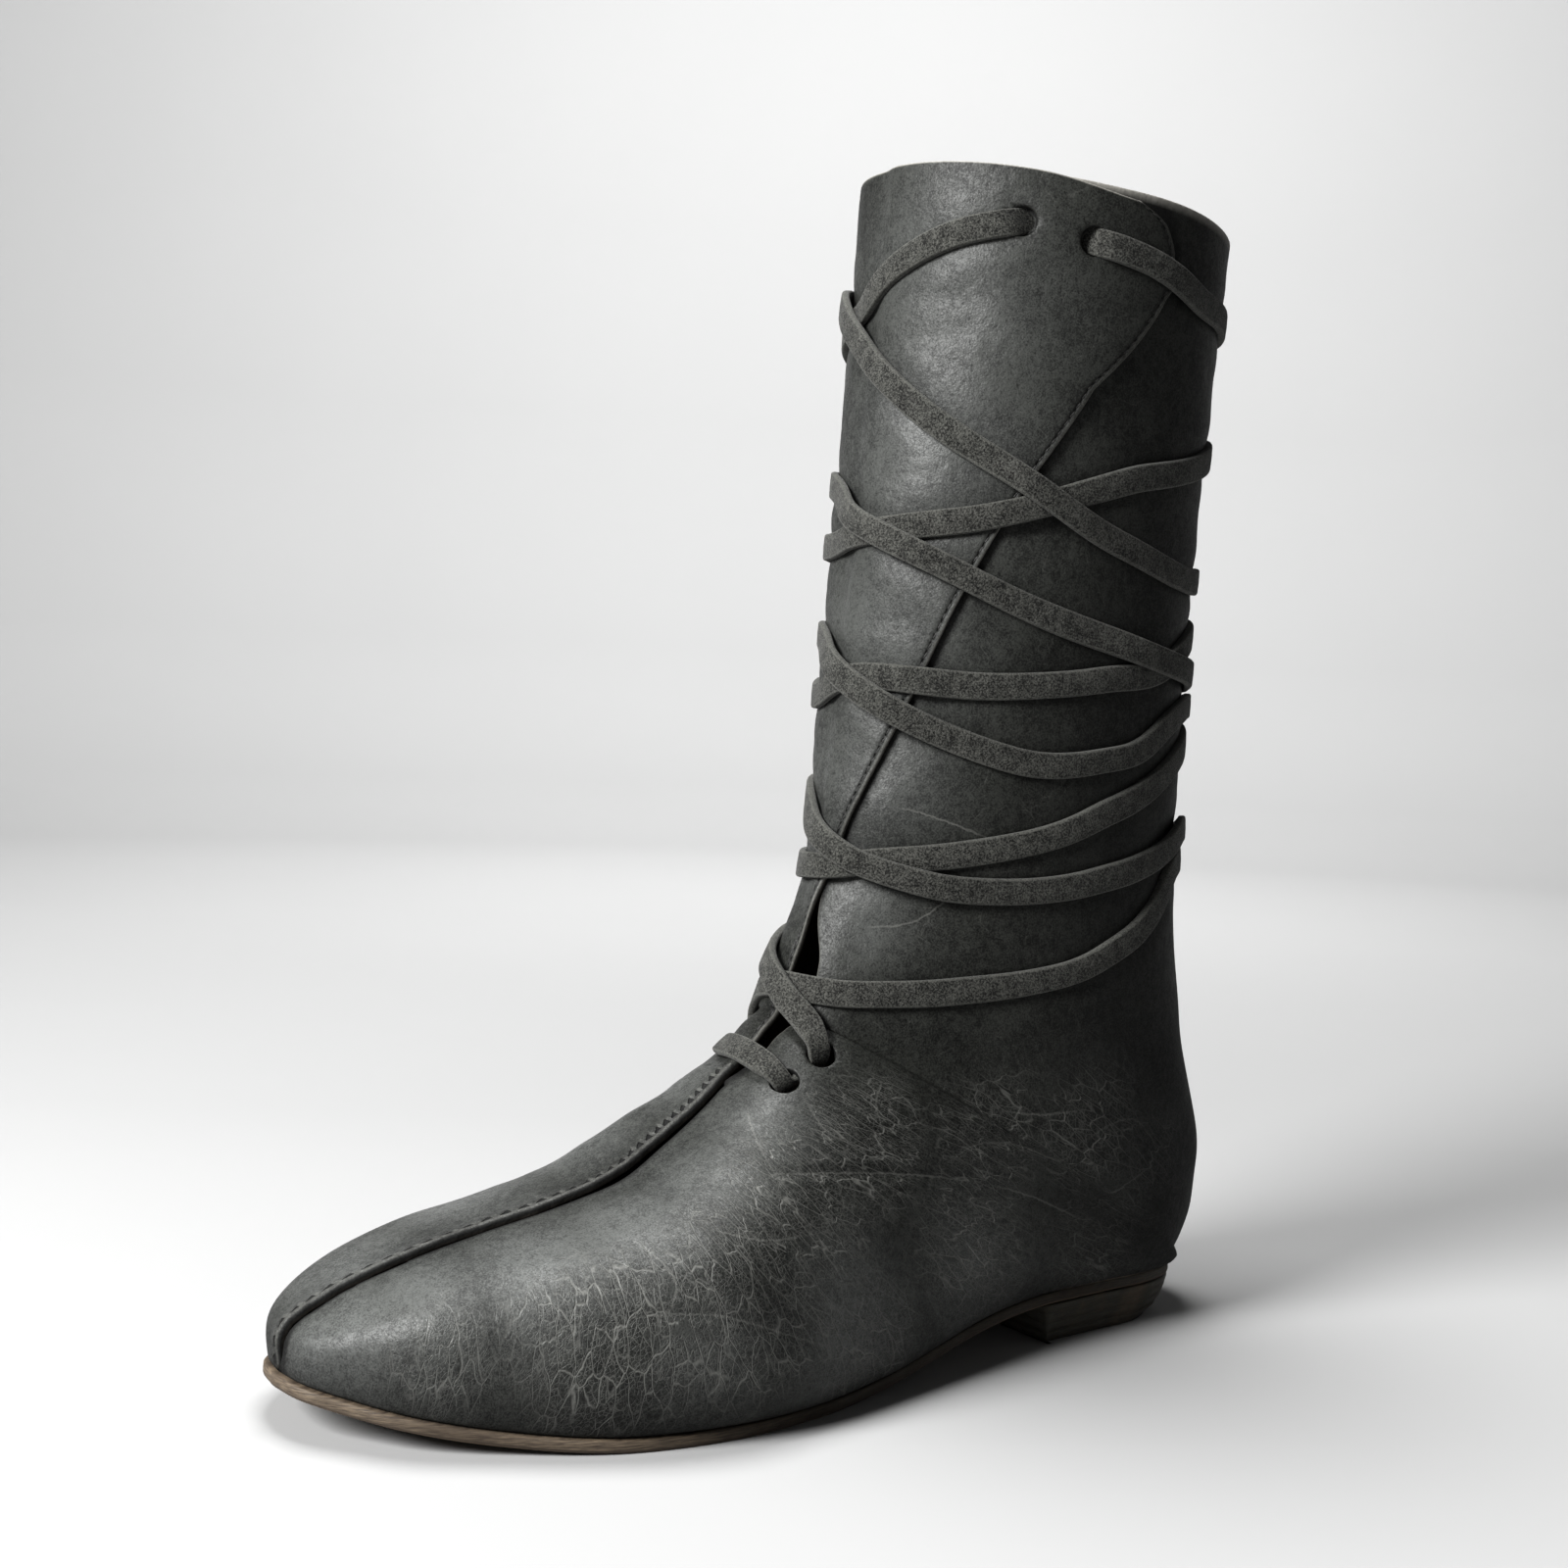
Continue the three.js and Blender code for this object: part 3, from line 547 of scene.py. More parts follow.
def far_rise(row, around, from_edge):
    """The right panel: a raised, stitched lap along the seam, then the wrapped flap."""
    ends = smooth(row) * (1 - smooth((row - THROAT) / FAR_LAP_END))
    swell = LAP_HEIGHT * (1 - smooth((from_edge - LAP_TOP) / LAP_SLOPE))
    for height, place, width in LAP_HUMPS:
        swell += height * bell(from_edge - place, width)
    over = smooth((around - edge_at("near", row) + FLAP_RAMP) / FLAP_RAMP)
    lifted = np.where(row > THROAT, FLAP_LIFT * over, 0)
    groove = EDGE_STITCH_GROOVE * bell(from_edge - EDGE_STITCH_LINE, 0.4)
    groove = groove * smooth(row - THROAT - HEM_START)
    return np.maximum(swell * ends, lifted) - groove


ROW_STEP = 1.8
COLUMN_STEP = 2.1
SEAM_COLUMNS = np.array([0, 0.12, 0.35, 0.7, 1.1, 1.5, 1.9, 2.4, 3.0, 3.5, 4.0, 4.7, 5.6, 6.8])
BACK_COLUMNS = np.array([0, 0.12, 0.35, 0.7, 1.3, 2.2])
COLLAR_ROWS = np.array([0, 0.12, 0.35, 0.7, 1.2])
LEAST_WIDTH = 60
PANEL_WIDTH = {"near": 165, "far": 235}
UNDERLAP = 0.9
FINE = 400
CORNER_DROP = 0.05
# The collar's cut, in rows: how much lower toward the back, how much higher beside the
# ridge, and the section row from which the sections lean with it.
COLLAR_LOW = 0.085
COLLAR_HIGH, HIGH_PLACE, HIGH_WIDTH = 0.04, -0.18, 0.2
CUT_START = 17.5
CUT_ROUND = 0.7


@lru_cache(maxsize=None)
def row_stations():
    """Section rows from toe to collar, evenly spread along the leather."""
    fine = np.linspace(0, COLLAR, FINE * 4)
    runs = [length_of(np.diff(last(fine, place), axis=0)) for place in (0.0, 0.97)]
    length = np.concatenate([[0], np.cumsum(sum(runs) / 2)])
    count = int(length[-1] / ROW_STEP)
    even = np.linspace(0, length[-1] - COLLAR_ROWS[-1], count)[:-1]
    return np.interp(np.concatenate([even, length[-1] - COLLAR_ROWS[::-1]]), length, fine)


def places_along(row, start, end, edge_columns, count):
    """Places round one section: close together at both edges, even between them."""
    fine = np.linspace(start, end, FINE)
    length = steps_along(last(row, fine))
    whole = length[-1]
    squeeze = min(1, whole / LEAST_WIDTH)
    first = edge_columns * squeeze
    final = whole - BACK_COLUMNS[::-1] * squeeze
    middle = np.linspace(first[-1], final[0], count + 2)[1:-1]
    at = np.concatenate([first, middle, final])
    return np.interp(at, length, fine), at, whole - at


def ragged(rows):
    """Small unevenness of the lap's cut edge, in millimetres."""
    waves = ((9.1, 0.4, 0.4), (23.0, 1.9, 0.35), (51.0, 4.2, 0.25))
    return LAP_RAGGED * sum(part * np.sin(pace * rows + turn) for pace, turn, part in waves)


def collar_drop(around):
    """Share of a row the collar is cut lower toward the back, and higher beside the ridge."""
    near_side = COLLAR_LOW * smooth((around - 0.05) / 0.45)
    far_side = COLLAR_LOW * smooth((-0.55 - around) / 0.45)
    return near_side + far_side - COLLAR_HIGH * bell(around - HIGH_PLACE, HIGH_WIDTH)


def panel_grid(side):
    """Rows, places and distances from the edges of one panel, before any relief."""
    rows = row_stations()
    if side == "near":
        under = -lap_share(rows) * UNDERLAP * smooth((THROAT - rows) / NEAR_LAP_END)
        start = np.where(rows < THROAT, under, edge_at("near", rows))
        end, edge_columns = 1, SEAM_COLUMNS[:9]
    else:
        vamp = (lap_share(rows) / SEAM_LAP) * ragged(rows) * smooth(THROAT - rows)
        start = edge_at("flap", rows) + vamp
        end, edge_columns = -1, SEAM_COLUMNS
    count = int(PANEL_WIDTH[side] / COLUMN_STEP)
    found = [places_along(r, s, end, edge_columns, count) for r, s in zip(rows, start)]
    around = np.array([places for places, _, _ in found])
    from_edge = np.array([at for _, at, _ in found])
    from_end = np.array([left for _, _, left in found])
    row = np.repeat(rows[:, None], around.shape[1], axis=1)
    drop = collar_drop(around)
    if side == "far":
        drop = drop + CORNER_DROP * smooth((around - 0.30) / 0.22)
    row = row - np.maximum(0, row - CUT_START) / (COLLAR - CUT_START) * drop
    return row, around, from_edge, from_end


@lru_cache(maxsize=None)
def panel(side):
    """One leather panel: places, directions, height of its outside and its finish."""
    row, around, from_edge, from_end = panel_grid(side)
    place = last(row, around)
    out = outward(row, around)
    folds, crease, across_fold = fold_relief(place, out)
    rest = mix(smooth(from_end / EDGE_REST), 1, smooth((row - HEEL_END) / 0.9))
    calm = smooth(np.where(row < THROAT + 1, from_edge / EDGE_REST, 1))
    relief = rest * calm * (folds + uneven(place))
    rise = (near_rise if side == "near" else far_rise)(row, around, from_edge)
    up_from_toe = np.stack([steps_along(line) for line in place.swapaxes(0, 1)], axis=1)
    from_collar = up_from_toe[-1] - up_from_toe
    return {
        "row": row,
        "around": around,
        "from_edge": from_edge,
        "from_end": from_end,
        "from_collar": from_collar,
        "up": np.repeat(up_from_toe.mean(axis=1)[:, None], row.shape[1], axis=1),
        "place": place,
        "out": out,
        "height": rise + relief,
        "crease": crease * rest,
        "across_fold": across_fold,
        "crackle": in_zones(place, CRACKLE_ZONES),
        "sheen_and_polish": in_zones(place, SHEEN_AND_POLISH_ZONES),
    }


# Lace holes, by section row and place round it.
HOLES = {
    "lowNear": (8.86, 0.163),
    "highNear": (9.85, 0.183),
    "lowFar": (9.2, -0.165),
    "highFar": (10.3, -0.190),
    "flapFront": (18.68, 0.294),
    "flapBack": (18.64, 0.426),
}

# The lace's two strands from the throat to the top of the flap: section row, and place
# round the shaft in half turns, where odd numbers are the back.
UNDER_STRAND = [
    [10.3, -0.190], [10.8, -0.184], [11.5, -0.172], [12.0, -0.146], [12.25, -0.105],
    [12.36, -0.050], [12.40, 0.005], [12.42, 0.060], [12.50, 0.110], [12.66, 0.169],
    [13.15, 0.263], [13.70, 0.349], [14.18, 0.434], [14.71, 0.540], [15.24, 0.640],
    [15.64, 0.709], [15.98, 0.774], [16.15, 0.88], [16.20, 1.00], [16.00, 1.20],
    [15.40, 1.45], [14.70, 1.70], [14.30, 1.87], [14.20, 1.957], [14.22, 2.057],
    [14.43, 2.140], [14.75, 2.257], [15.20, 2.389], [15.81, 2.560], [16.25, 2.674],
    [16.55, 2.760], [16.78, 2.87], [16.85, 3.00], [16.80, 3.20], [16.55, 3.45],
    [16.15, 3.70], [15.88, 3.88], [16.00, 4.054], [16.08, 4.191], [16.21, 4.320],
    [16.44, 4.463], [16.68, 4.594], [16.84, 4.666], [17.12, 4.763], [17.30, 4.88],
    [17.35, 5.00], [17.30, 5.20], [17.15, 5.50], [17.00, 5.72], [16.87, 5.897],
    [16.93, 6.089], [17.08, 6.250], [17.27, 6.371], [17.46, 6.470], [17.71, 6.606],
    [18.03, 6.791], [18.15, 6.90], [18.20, 7.00], [18.22, 7.25], [18.20, 7.50],
    [18.18, 7.75], [18.22, 7.940], [18.41, 8.043], [18.58, 8.169], [18.68, 8.294],
]
OVER_STRAND = [
    [9.85, 0.183], [10.15, 0.160], [10.5, 0.131], [11.2, 0.108], [11.8, 0.088],
    [12.1, 0.068], [12.32, 0.043], [12.50, 0.008], [12.68, -0.032], [12.90, -0.078],
    [13.12, -0.125], [13.45, -0.19],
    [14.10, -0.36], [15.10, -0.62], [15.95, -0.88], [16.25, -1.05], [16.25, -1.186],
    [15.85, -1.314], [15.45, -1.423], [14.94, -1.577], [14.69, -1.660], [14.50, -1.740],
    [14.38, -1.860], [14.48, -1.940], [14.65, -2.011], [15.03, -2.137], [15.50, -2.35],
    [16.10, -2.60], [16.70, -2.85], [16.92, -3.05], [16.88, -3.18], [16.68, -3.280],
    [16.34, -3.371], [16.06, -3.486], [15.87, -3.597], [15.79, -3.740], [15.85, -3.863],
    [16.02, -3.977], [16.29, -4.117], [16.50, -4.30], [16.75, -4.55], [17.00, -4.80],
    [17.10, -5.00], [17.05, -5.12], [17.00, -5.209], [16.84, -5.411], [16.76, -5.609],
    [16.82, -5.797], [16.97, -5.969], [17.20, -6.109], [17.40, -6.30], [17.52, -6.55],
    [17.60, -6.80], [17.60, -7.00], [17.52, -7.15], [17.43, -7.234], [17.34, -7.350],
    [17.31, -7.500], [17.39, -7.634], [17.56, -7.811], [17.82, -7.957], [18.11, -8.077],
    [18.36, -8.190], [18.50, -8.40], [18.58, -8.70], [18.60, -9.00], [18.58, -9.237],
    [18.56, -9.340], [18.61, -9.449], [18.64, -9.574],
]
THROAT_BAR = [[8.86, 0.163], [8.98, 0.080], [9.08, -0.040], [9.2, -0.165]]

LACE_STEP = 1.7
STRAND_STEP = 2.5
PRESS = 0.7
PRESS_WIDTH = 4.2
# Beside the lace the leather swells: height, distance from its middle and width.
SWELL, SWELL_PLACE, SWELL_WIDTH = 0.25, 10, 4
LACE_CLEAR = 0.12
CROSS_CLEAR = 0.1
CROSS_FLAT = 6.5
CROSS_END = 12
HOLE_RUN = 5.0
INSIDE_DEPTH = 3.2
# The leather looked at under the lace, and the leather that bears it, in lace widths.
LOOK_SHARE = 0.9
BEAR_SHARE = 0.55


def wrapped(around):
    return around - 2 * np.round(around / 2)


def tree_of(points):
    """A tree to look up the nearest of some points."""
    tree = KDTree(len(points))
    for k, point in enumerate(points):
        tree.insert(point, k)
    tree.balance()
    return tree


@lru_cache(maxsize=None)
def leather_cloud():
    """The outside of both panels as one set of points, with a tree to look them up in."""
    points = []
    for side in ("near", "far"):
        sheet = panel(side)
        outside = sheet["place"] + sheet["out"] * sheet["height"][..., None]
        points.append(outside.reshape(-1, 3))
    points = np.concatenate(points)
    return points, tree_of(points)


def soften(values, reach, passes=2):
    """A moving average along a route."""
    kernel = np.ones(2 * reach + 1) / (2 * reach + 1)
    for _ in range(passes):
        values = np.convolve(np.pad(values, reach, mode="edge"), kernel, mode="valid")
    return values


def soften_route(vectors, reach, passes=2):
    return np.stack([soften(part, reach, passes) for part in vectors.T], axis=-1)


def even_route(strand):
    """Even steps along a strand, with the directions of the strap at each."""
    rows = table(["row", "around"], strand)
    fine = np.linspace(0, len(strand) - 1, 60 * len(strand))
    row = between(rows, "row", fine)
    around = between(rows, "around", fine)
    place = last(row, wrapped(around))
    at = evenly(steps_along(place), STRAND_STEP, fine)
    row = between(rows, "row", at)
    around = wrapped(between(rows, "around", at))
    place = soften_route(last(row, around), 1)
    out = unit(soften_route(outward(row, around), 3))
    run = unit(np.gradient(place, axis=0))
    across = unit(np.cross(run, out))
    return {"place": place, "out": out, "run": run, "across": across}


def resting_height(route):
    """How high the leather stands under the strap's width, softened along the strap."""
    points, tree = leather_cloud()
    heights = []
    for place, out, run, across in zip(*route.values()):
        found = [k for _, k, _ in tree.find_range(place, LOOK_SHARE * LACE_WIDTH)]
        away = points[found] - place
        beside = np.abs(away @ across)
        under = (np.abs(away @ run) < STRAND_STEP) & (beside < BEAR_SHARE * LACE_WIDTH)
        heights.append(max((away @ out)[under], default=0))
    padded = np.pad(heights, 1, mode="edge")
    highest = np.max([padded[k:k + len(heights)] for k in range(3)], axis=0)
    return soften(highest, 1)


@lru_cache(maxsize=None)
def strands():
    """The laid parts of the lace, each with the height of its underside."""
    under = even_route(UNDER_STRAND)
    over = even_route(OVER_STRAND)
    bar = even_route(THROAT_BAR)
    for route in (under, over, bar):
        route["height"] = resting_height(route) - PRESS + LACE_CLEAR
    gaps = [length_of(under["place"] - place) for place in over["place"]]
    gap = np.min(gaps, axis=1)
    climb = (LACE_THICKNESS + CROSS_CLEAR) * smooth((CROSS_END - gap) / (CROSS_END - CROSS_FLAT))
    at_crossing = under["height"][np.argmin(gaps, axis=1)]
    level = np.where(gap < CROSS_END, np.maximum(over["height"], at_crossing), over["height"])
    over["height"] = soften(np.where(climb > 0, level + climb, over["height"]), 2)
    return under, over, bar


@lru_cache(maxsize=None)
def press_tree():
    """The places where the lace bears on the leather."""
    return tree_of(np.concatenate([route["place"] for route in strands()]))


def pressed(place):
    """The lace sinks in a little, and the leather swells beside it."""
    tree = press_tree()
    gap = np.array([tree.find(p)[2] for p in place.reshape(-1, 3)]).reshape(place.shape[:-1])
    return SWELL * bell(gap - SWELL_PLACE, SWELL_WIDTH) - PRESS * bell(gap, PRESS_WIDTH)


@lru_cache(maxsize=None)
def outside_height(side):
    """How high a panel's outside stands off the last, with the lace pressed in."""
    sheet = panel(side)
    return sheet["height"] + pressed(sheet["place"])


# The lace's way through a hole: distance back along it, depth, and how its upper side turns.
PASSAGE = [(3.1, 0.35, 0.85, 0.5), (1.5, 1.7, 0.45, 0.9), (0.7, 3.3, 0.1, 1), (0.2, 5.0, 0, 1)]
# An end of the lace lies flat behind its hole, past two layers of leather.
END_PASSAGE = [
    (3.4, 0.3, 0.9, 0.4), (1.9, 1.5, 0.6, 0.8), (0.6, 3.4, 0.5, 0.85), (-1.2, 5.4, 0.6, 0.8),
    (-3.8, 6.7, 0.9, 0.3), (-7.0, 7.1, 1, 0), (-11.0, 7.2, 1, 0),
]
END_RISE = 0.8
# Width of the lace in a hole, as a share, and the distances where it narrows.
HOLE_SQUEEZE = 0.8
END_SQUEEZE = 1.0
NARROW, NARROWS_OVER = 3, 6


def hole_frame(name):
    row, around = HOLES[name]
    return last(row, around), outward(row, around)


def through_hole(name, route, at_end):
    """The lace's way between the outside, along a route, and the inside at a hole."""
    ends_here = name.startswith("flap")
    centre, out = hole_frame(name)
    step = -1 if at_end else 1
    order = slice(None, None, step)
    place = route["place"][order]
    keep = length_of(place - centre) > HOLE_RUN
    first = int(np.argmax(keep))
    top = route["height"][order][first] + LACE_THICKNESS / 2
    away = unit(place[first] - centre)
    away = unit(away - (away @ out) * out)
    passage = END_PASSAGE if ends_here else PASSAGE
    rise = np.array([0, 0, END_RISE]) if ends_here else np.zeros(3)
    knots = [
        centre + away * back + out * (top - down) + rise * smooth((down - 1.5) / 4)
        for back, down, _, _ in passage
    ]
    hints = [unit(out * flat - away * steep) for _, _, flat, steep in passage]
    return first, knots, hints


def lace_route():
    """The whole lace as one line: places of its middle and hints for its upper side."""
    under, over, bar = strands()
    places, hints = [], []

    def lay(route, backwards, start_hole, end_hole):
        order = slice(None, None, -1) if backwards else slice(None)
        route = {key: route[key][order] for key in ("place", "out", "height")}
        first, knots, sides = through_hole(start_hole, route, False)
        places.extend(reversed(knots))
        hints.extend(reversed(sides))
        end, out_knots, out_sides = through_hole(end_hole, route, True)
        middle = slice(first, len(route["place"]) - end)
        lift = (route["height"][middle] + LACE_THICKNESS / 2)[:, None]
        places.extend(route["place"][middle] + route["out"][middle] * lift)
        hints.extend(route["out"][middle])
        places.extend(out_knots)
        hints.extend(out_sides)

    def inside(first_hole, second_hole):
        (a, out_a), (b, out_b) = hole_frame(first_hole), hole_frame(second_hole)
        hint = hints[-1]
        for t in (0.3, 0.7):
            depth = LEATHER + INSIDE_DEPTH
            places.append(mix(a, b, t) - unit(mix(out_a, out_b, t)) * depth)
            hints.append(hint)

    lay(over, True, "flapBack", "highNear")
    inside("highNear", "lowNear")
    lay(bar, False, "lowNear", "lowFar")
    inside("lowFar", "highFar")
    lay(under, False, "highFar", "flapFront")
    return np.array(places), np.array(hints)


@lru_cache(maxsize=None)
def lace_line():
    """Even steps along the whole lace: middle, run, upper side and width."""
    places, hints = lace_route()
    knots = table("xyz", places)
    order = np.arange(len(places))
    at = evenly(steps_along(places), LACE_STEP, order)
    middle = soften_route(np.stack([between(knots, axis, at) for axis in "xyz"], axis=-1), 1, 3)
    up = soften_route(points_at(at, order, hints), 2)
    run = unit(np.gradient(middle, axis=0))
    up = unit(up - (up * run).sum(-1)[:, None] * run)
    squeeze = np.ones(len(middle))
    for name in HOLES:
        centre, _ = hole_frame(name)
        least = END_SQUEEZE if name.startswith("flap") else HOLE_SQUEEZE
        free = smooth((length_of(middle - centre) - NARROW) / NARROWS_OVER)
        squeeze = np.minimum(squeeze, mix(least, 1, free))
    return middle, run, up, squeeze


# Writing meshes.


def write_object(name, points, faces, smooth_faces=True):
    """A mesh object from points in millimetres and faces that name them."""
    mesh = bpy.data.meshes.new(name)
    mesh.from_pydata([tuple(p) for p in np.asarray(points) * MM], [], faces)
    mesh.validate()
    mesh.update()
    for polygon in mesh.polygons:
        polygon.use_smooth = smooth_faces
    piece = bpy.data.objects.new(name, mesh)
    bpy.context.scene.collection.objects.link(piece)
    return piece


def tidy(piece, merge=1e-6):
    """Merges equal points, drops faces without area and turns all faces outward."""
    mesh = bmesh.new()
    mesh.from_mesh(piece.data)
    bmesh.ops.remove_doubles(mesh, verts=mesh.verts, dist=merge)
    bmesh.ops.dissolve_degenerate(mesh, edges=mesh.edges, dist=merge)
    bmesh.ops.recalc_face_normals(mesh, faces=mesh.faces)
    mesh.to_mesh(piece.data)
    mesh.free()
    return piece


def add_values(piece, name, values):
    layer = piece.data.attributes.new(name, "FLOAT", "POINT")
    layer.data.foreach_set("value", np.asarray(values, np.float32).ravel())


def add_flat_map(piece, coordinates):
    """A flat map of the leather in decimetres, so that patterns keep their real scale."""
    layer = piece.data.uv_layers.new(name="leather")
    corners = np.zeros(len(piece.data.loops), int)
    piece.data.loops.foreach_get("vertex_index", corners)
    layer.data.foreach_set("uv", np.asarray(coordinates, np.float32)[corners].ravel())


def grid_faces(rows, columns, start=0, flip=False):
    k = start + np.arange(rows * columns).reshape(rows, columns)
    quads = np.stack([k[:-1, :-1], k[:-1, 1:], k[1:, 1:], k[1:, :-1]], axis=-1).reshape(-1, 4)
    return (quads[:, ::-1] if flip else quads).tolist()


def rim_faces(outside, inside):
    return [
        [outside[k], outside[k + 1], inside[k + 1], inside[k]] for k in range(len(outside) - 1)
    ]


def ring_quads(rings, sides, start=0, flip=False):
    """Faces between closed rings of points that follow one another."""
    faces = []
    for k in range(rings - 1):
        for j in range(sides):
            n = (j + 1) % sides
            a, b = start + k * sides, start + (k + 1) * sides
            faces.append([a + j, b + j, b + n, a + n] if flip else [a + j, a + n, b + n, b + j])
    return faces


def cut_drop(distance):
    """How far a cut edge is rounded down at a distance from it."""
    d = np.clip(distance, 0, CUT_ROUND)
    return CUT_ROUND - np.sqrt(np.maximum(0, CUT_ROUND**2 - (CUT_ROUND - d) ** 2))


INSIDE_CALM = 0.75
HALF_BACK_GAP = 0.06
BACK_SINK, BACK_SINK_WIDTH = 0.45, 0.9
INSIDE_SHIFT = [3.7, 1.3]
RIM_PALE = {"near": 1.5, "far": 1.0}
FRONT_CUT, FRONT_CUT_WIDTH = 0.4, 0.45
LAP_RUB, LAP_RUB_PLACE, LAP_RUB_WIDTH = 0.12, 1.2, 0.5
# Darkening: dirt along the stitches and in the back seam, painted shade above the sole and on the
# back turned from the light, and painted shadow beside the lap and the flap's edge.
STITCH_DIRT, STITCH_DIRT_WIDTH = 0.5, 0.6
BACK_DIRT_WIDTH = 1.3
# Painted shade on the foot's lower sides, darkest just above the sole.
LOW_SHADE, LOW_SHADE_HEIGHT = 0.45, 26
# Painted shade on the sides turned toward the back, away from the light.
BACK_SHADE = 0.75


def panel_cut(side, sheet):
    """How much a panel shows of its cut or rubbed edges."""
    row, from_edge = sheet["row"], sheet["from_edge"]
    collar = bell(sheet["from_collar"], RIM_PALE[side], 4)
    front = FRONT_CUT * bell(from_edge, FRONT_CUT_WIDTH) * (row > THROAT)
    lap = LAP_RUB * bell(from_edge - LAP_RUB_PLACE, LAP_RUB_WIDTH) * (row < THROAT)
    return np.maximum(collar, front + lap * (side == "far"))


def panel_grime_and_shade(side, sheet, on_vamp):
    """Where a panel is darker: dirt along its stitches and back seam, and painted shade and shadow.
    """
    row, from_edge, from_end = sheet["row"], sheet["from_edge"], sheet["from_end"]
    line = np.where(row > THROAT + HEM_START, EDGE_STITCH_LINE, STITCH_LINE)
    # Painted shade from the instep up, weaker toward the collar, on the back half of each side.
    back_shade_rows = smooth((row - 8.5) / 2) * (1 - 0.55 * smooth((row - 13.4) / 4))
    behind = smooth((np.abs(sheet["around"]) - 0.33) / 0.35)
    layers = [
        bell(from_end, BACK_DIRT_WIDTH),
        # Painted shade low on the foot, fading upward from the sole.
        LOW_SHADE * (row < HEEL_END) * (1 - smooth(from_end / LOW_SHADE_HEIGHT)),
        BACK_SHADE * back_shade_rows * behind,
    ]
    if side == "near":
        # Painted shadow cast by the seam's lap and the flap's edge on the near panel, dark all
        # through under the flap.
        past_flap = (sheet["around"] - edge_at("flap", row)) / lap_share(row) * SEAM_LAP
        past_lap = np.where(row < THROAT, from_edge - SEAM_LAP + 0.4, past_flap)
        layers.append(1 - smooth((past_lap - 0.4) / 1.9))
    else:
        layers.append(STITCH_DIRT * bell(from_edge - line, STITCH_DIRT_WIDTH))
        # The lap's cut edge on the vamp: dyed dark, with painted shade in the step below it.
        layers.append(on_vamp * bell(from_edge, 0.6, 4))
    return np.max(layers, axis=0)


def make_panel(side, name):
    """A leather panel with its real thickness and rounded cut edges."""
    sheet = panel(side)
    row, from_end = sheet["row"], sheet["from_end"]
    rows, columns = row.shape
    height = outside_height(side)
    drop = cut_drop(np.minimum(sheet["from_edge"], sheet["from_collar"])) * INSIDE_CALM
    place = sheet["place"].copy()
    back = (row >= HEEL_END) & (np.abs(sheet["around"]) > 0.9999)
    place[..., 0] += back * (HALF_BACK_GAP if side == "near" else -HALF_BACK_GAP)
    sink = BACK_SINK * bell(from_end, BACK_SINK_WIDTH) * (row > HEEL_END)
    outside = place + sheet["out"] * (height - drop - sink)[..., None]
    inside = place + sheet["out"] * (height - LEATHER + drop)[..., None]
    count = rows * columns
    points = np.concatenate([outside.reshape(-1, 3), inside.reshape(-1, 3)])
    index = np.arange(count).reshape(rows, columns)
    faces = grid_faces(rows, columns) + grid_faces(rows, columns, count, flip=True)
    for edge in (index[:, 0], index[:, -1], index[0], index[-1]):
        faces += rim_faces(edge.tolist(), (edge + count).tolist())
    piece = write_object(name, points, faces)
    on_vamp = 1 - smooth((row - THROAT + 0.3) / 0.3)
    finish = {key: sheet[key] for key in ("crackle", "sheen_and_polish", "crease", "across_fold")}
    finish["cut"] = panel_cut(side, sheet)
    finish["grime_and_shade"] = panel_grime_and_shade(side, sheet, on_vamp)
    finish["seam"] = on_vamp * (side == "far")
    finish["hem"] = (1 - on_vamp) * (side == "far")
    for key, values in finish.items():
        add_values(piece, key, np.tile(values.ravel(), 2))
    add_values(piece, "lining", np.repeat([0, 1], count))
    flat = np.stack([sheet["up"].ravel(), sheet["from_edge"].ravel()], axis=-1) / 100
    add_flat_map(piece, np.concatenate([flat, flat + INSIDE_SHIFT]))
    tidy(piece)
    punch_holes(piece, side)
    return piece


PUNCH_PROFILE = [(3.2, 0.9), (0.15, 0.55), (-0.45, 0.08), (-1.0, 0), (-6.0, 0), (-9.0, 0)]
HOLE_SIDES = 40
UNDER_TIGHT = 0.9


def hole_cutter(name, side_of_panel):
    """A punch with a softly flared mouth, tighter where it goes through the under layer."""
    centre, out = hole_frame(name)
    lift = FLAP_LIFT if name.startswith("flap") else 0
    tight = lift and side_of_panel == "near"
    side = unit(np.cross(out, [0, 0, 1]))
    other = np.cross(out, side)
    turn = np.linspace(0, 2 * math.pi, HOLE_SIDES, endpoint=False)
    ring = np.cos(turn)[:, None] * side + np.sin(turn)[:, None] * other
    points = []
    for depth, flare in PUNCH_PROFILE:
        radius = HOLE_DIAMETER / 2 + flare - (UNDER_TIGHT if tight else 0)
        points.extend(centre + out * (depth + lift) + ring * radius)
    faces = ring_quads(len(PUNCH_PROFILE), HOLE_SIDES)
    end = (len(PUNCH_PROFILE) - 1) * HOLE_SIDES
    faces.append(list(range(HOLE_SIDES))[::-1])
    faces.append(list(range(end, end + HOLE_SIDES)))
    return tidy(write_object("hole_cutter", points, faces, smooth_faces=False))


def punch_holes(piece, side_of_panel):
    for name in HOLES:
        cutter = hole_cutter(name, side_of_panel)
        cut = piece.modifiers.new("hole", "BOOLEAN")
        cut.operation = "DIFFERENCE"
        cut.solver = "EXACT"
        cut.object = cutter
        bpy.context.view_layer.update()
        graph = bpy.context.evaluated_depsgraph_get()
        mesh = bpy.data.meshes.new_from_object(
            piece.evaluated_get(graph), preserve_all_data_layers=True, depsgraph=graph
        )
        piece.modifiers.clear()
        piece.data = mesh
        bpy.data.objects.remove(cutter)


LACE_CORNER = 0.75
LACE_DOME = 0.10


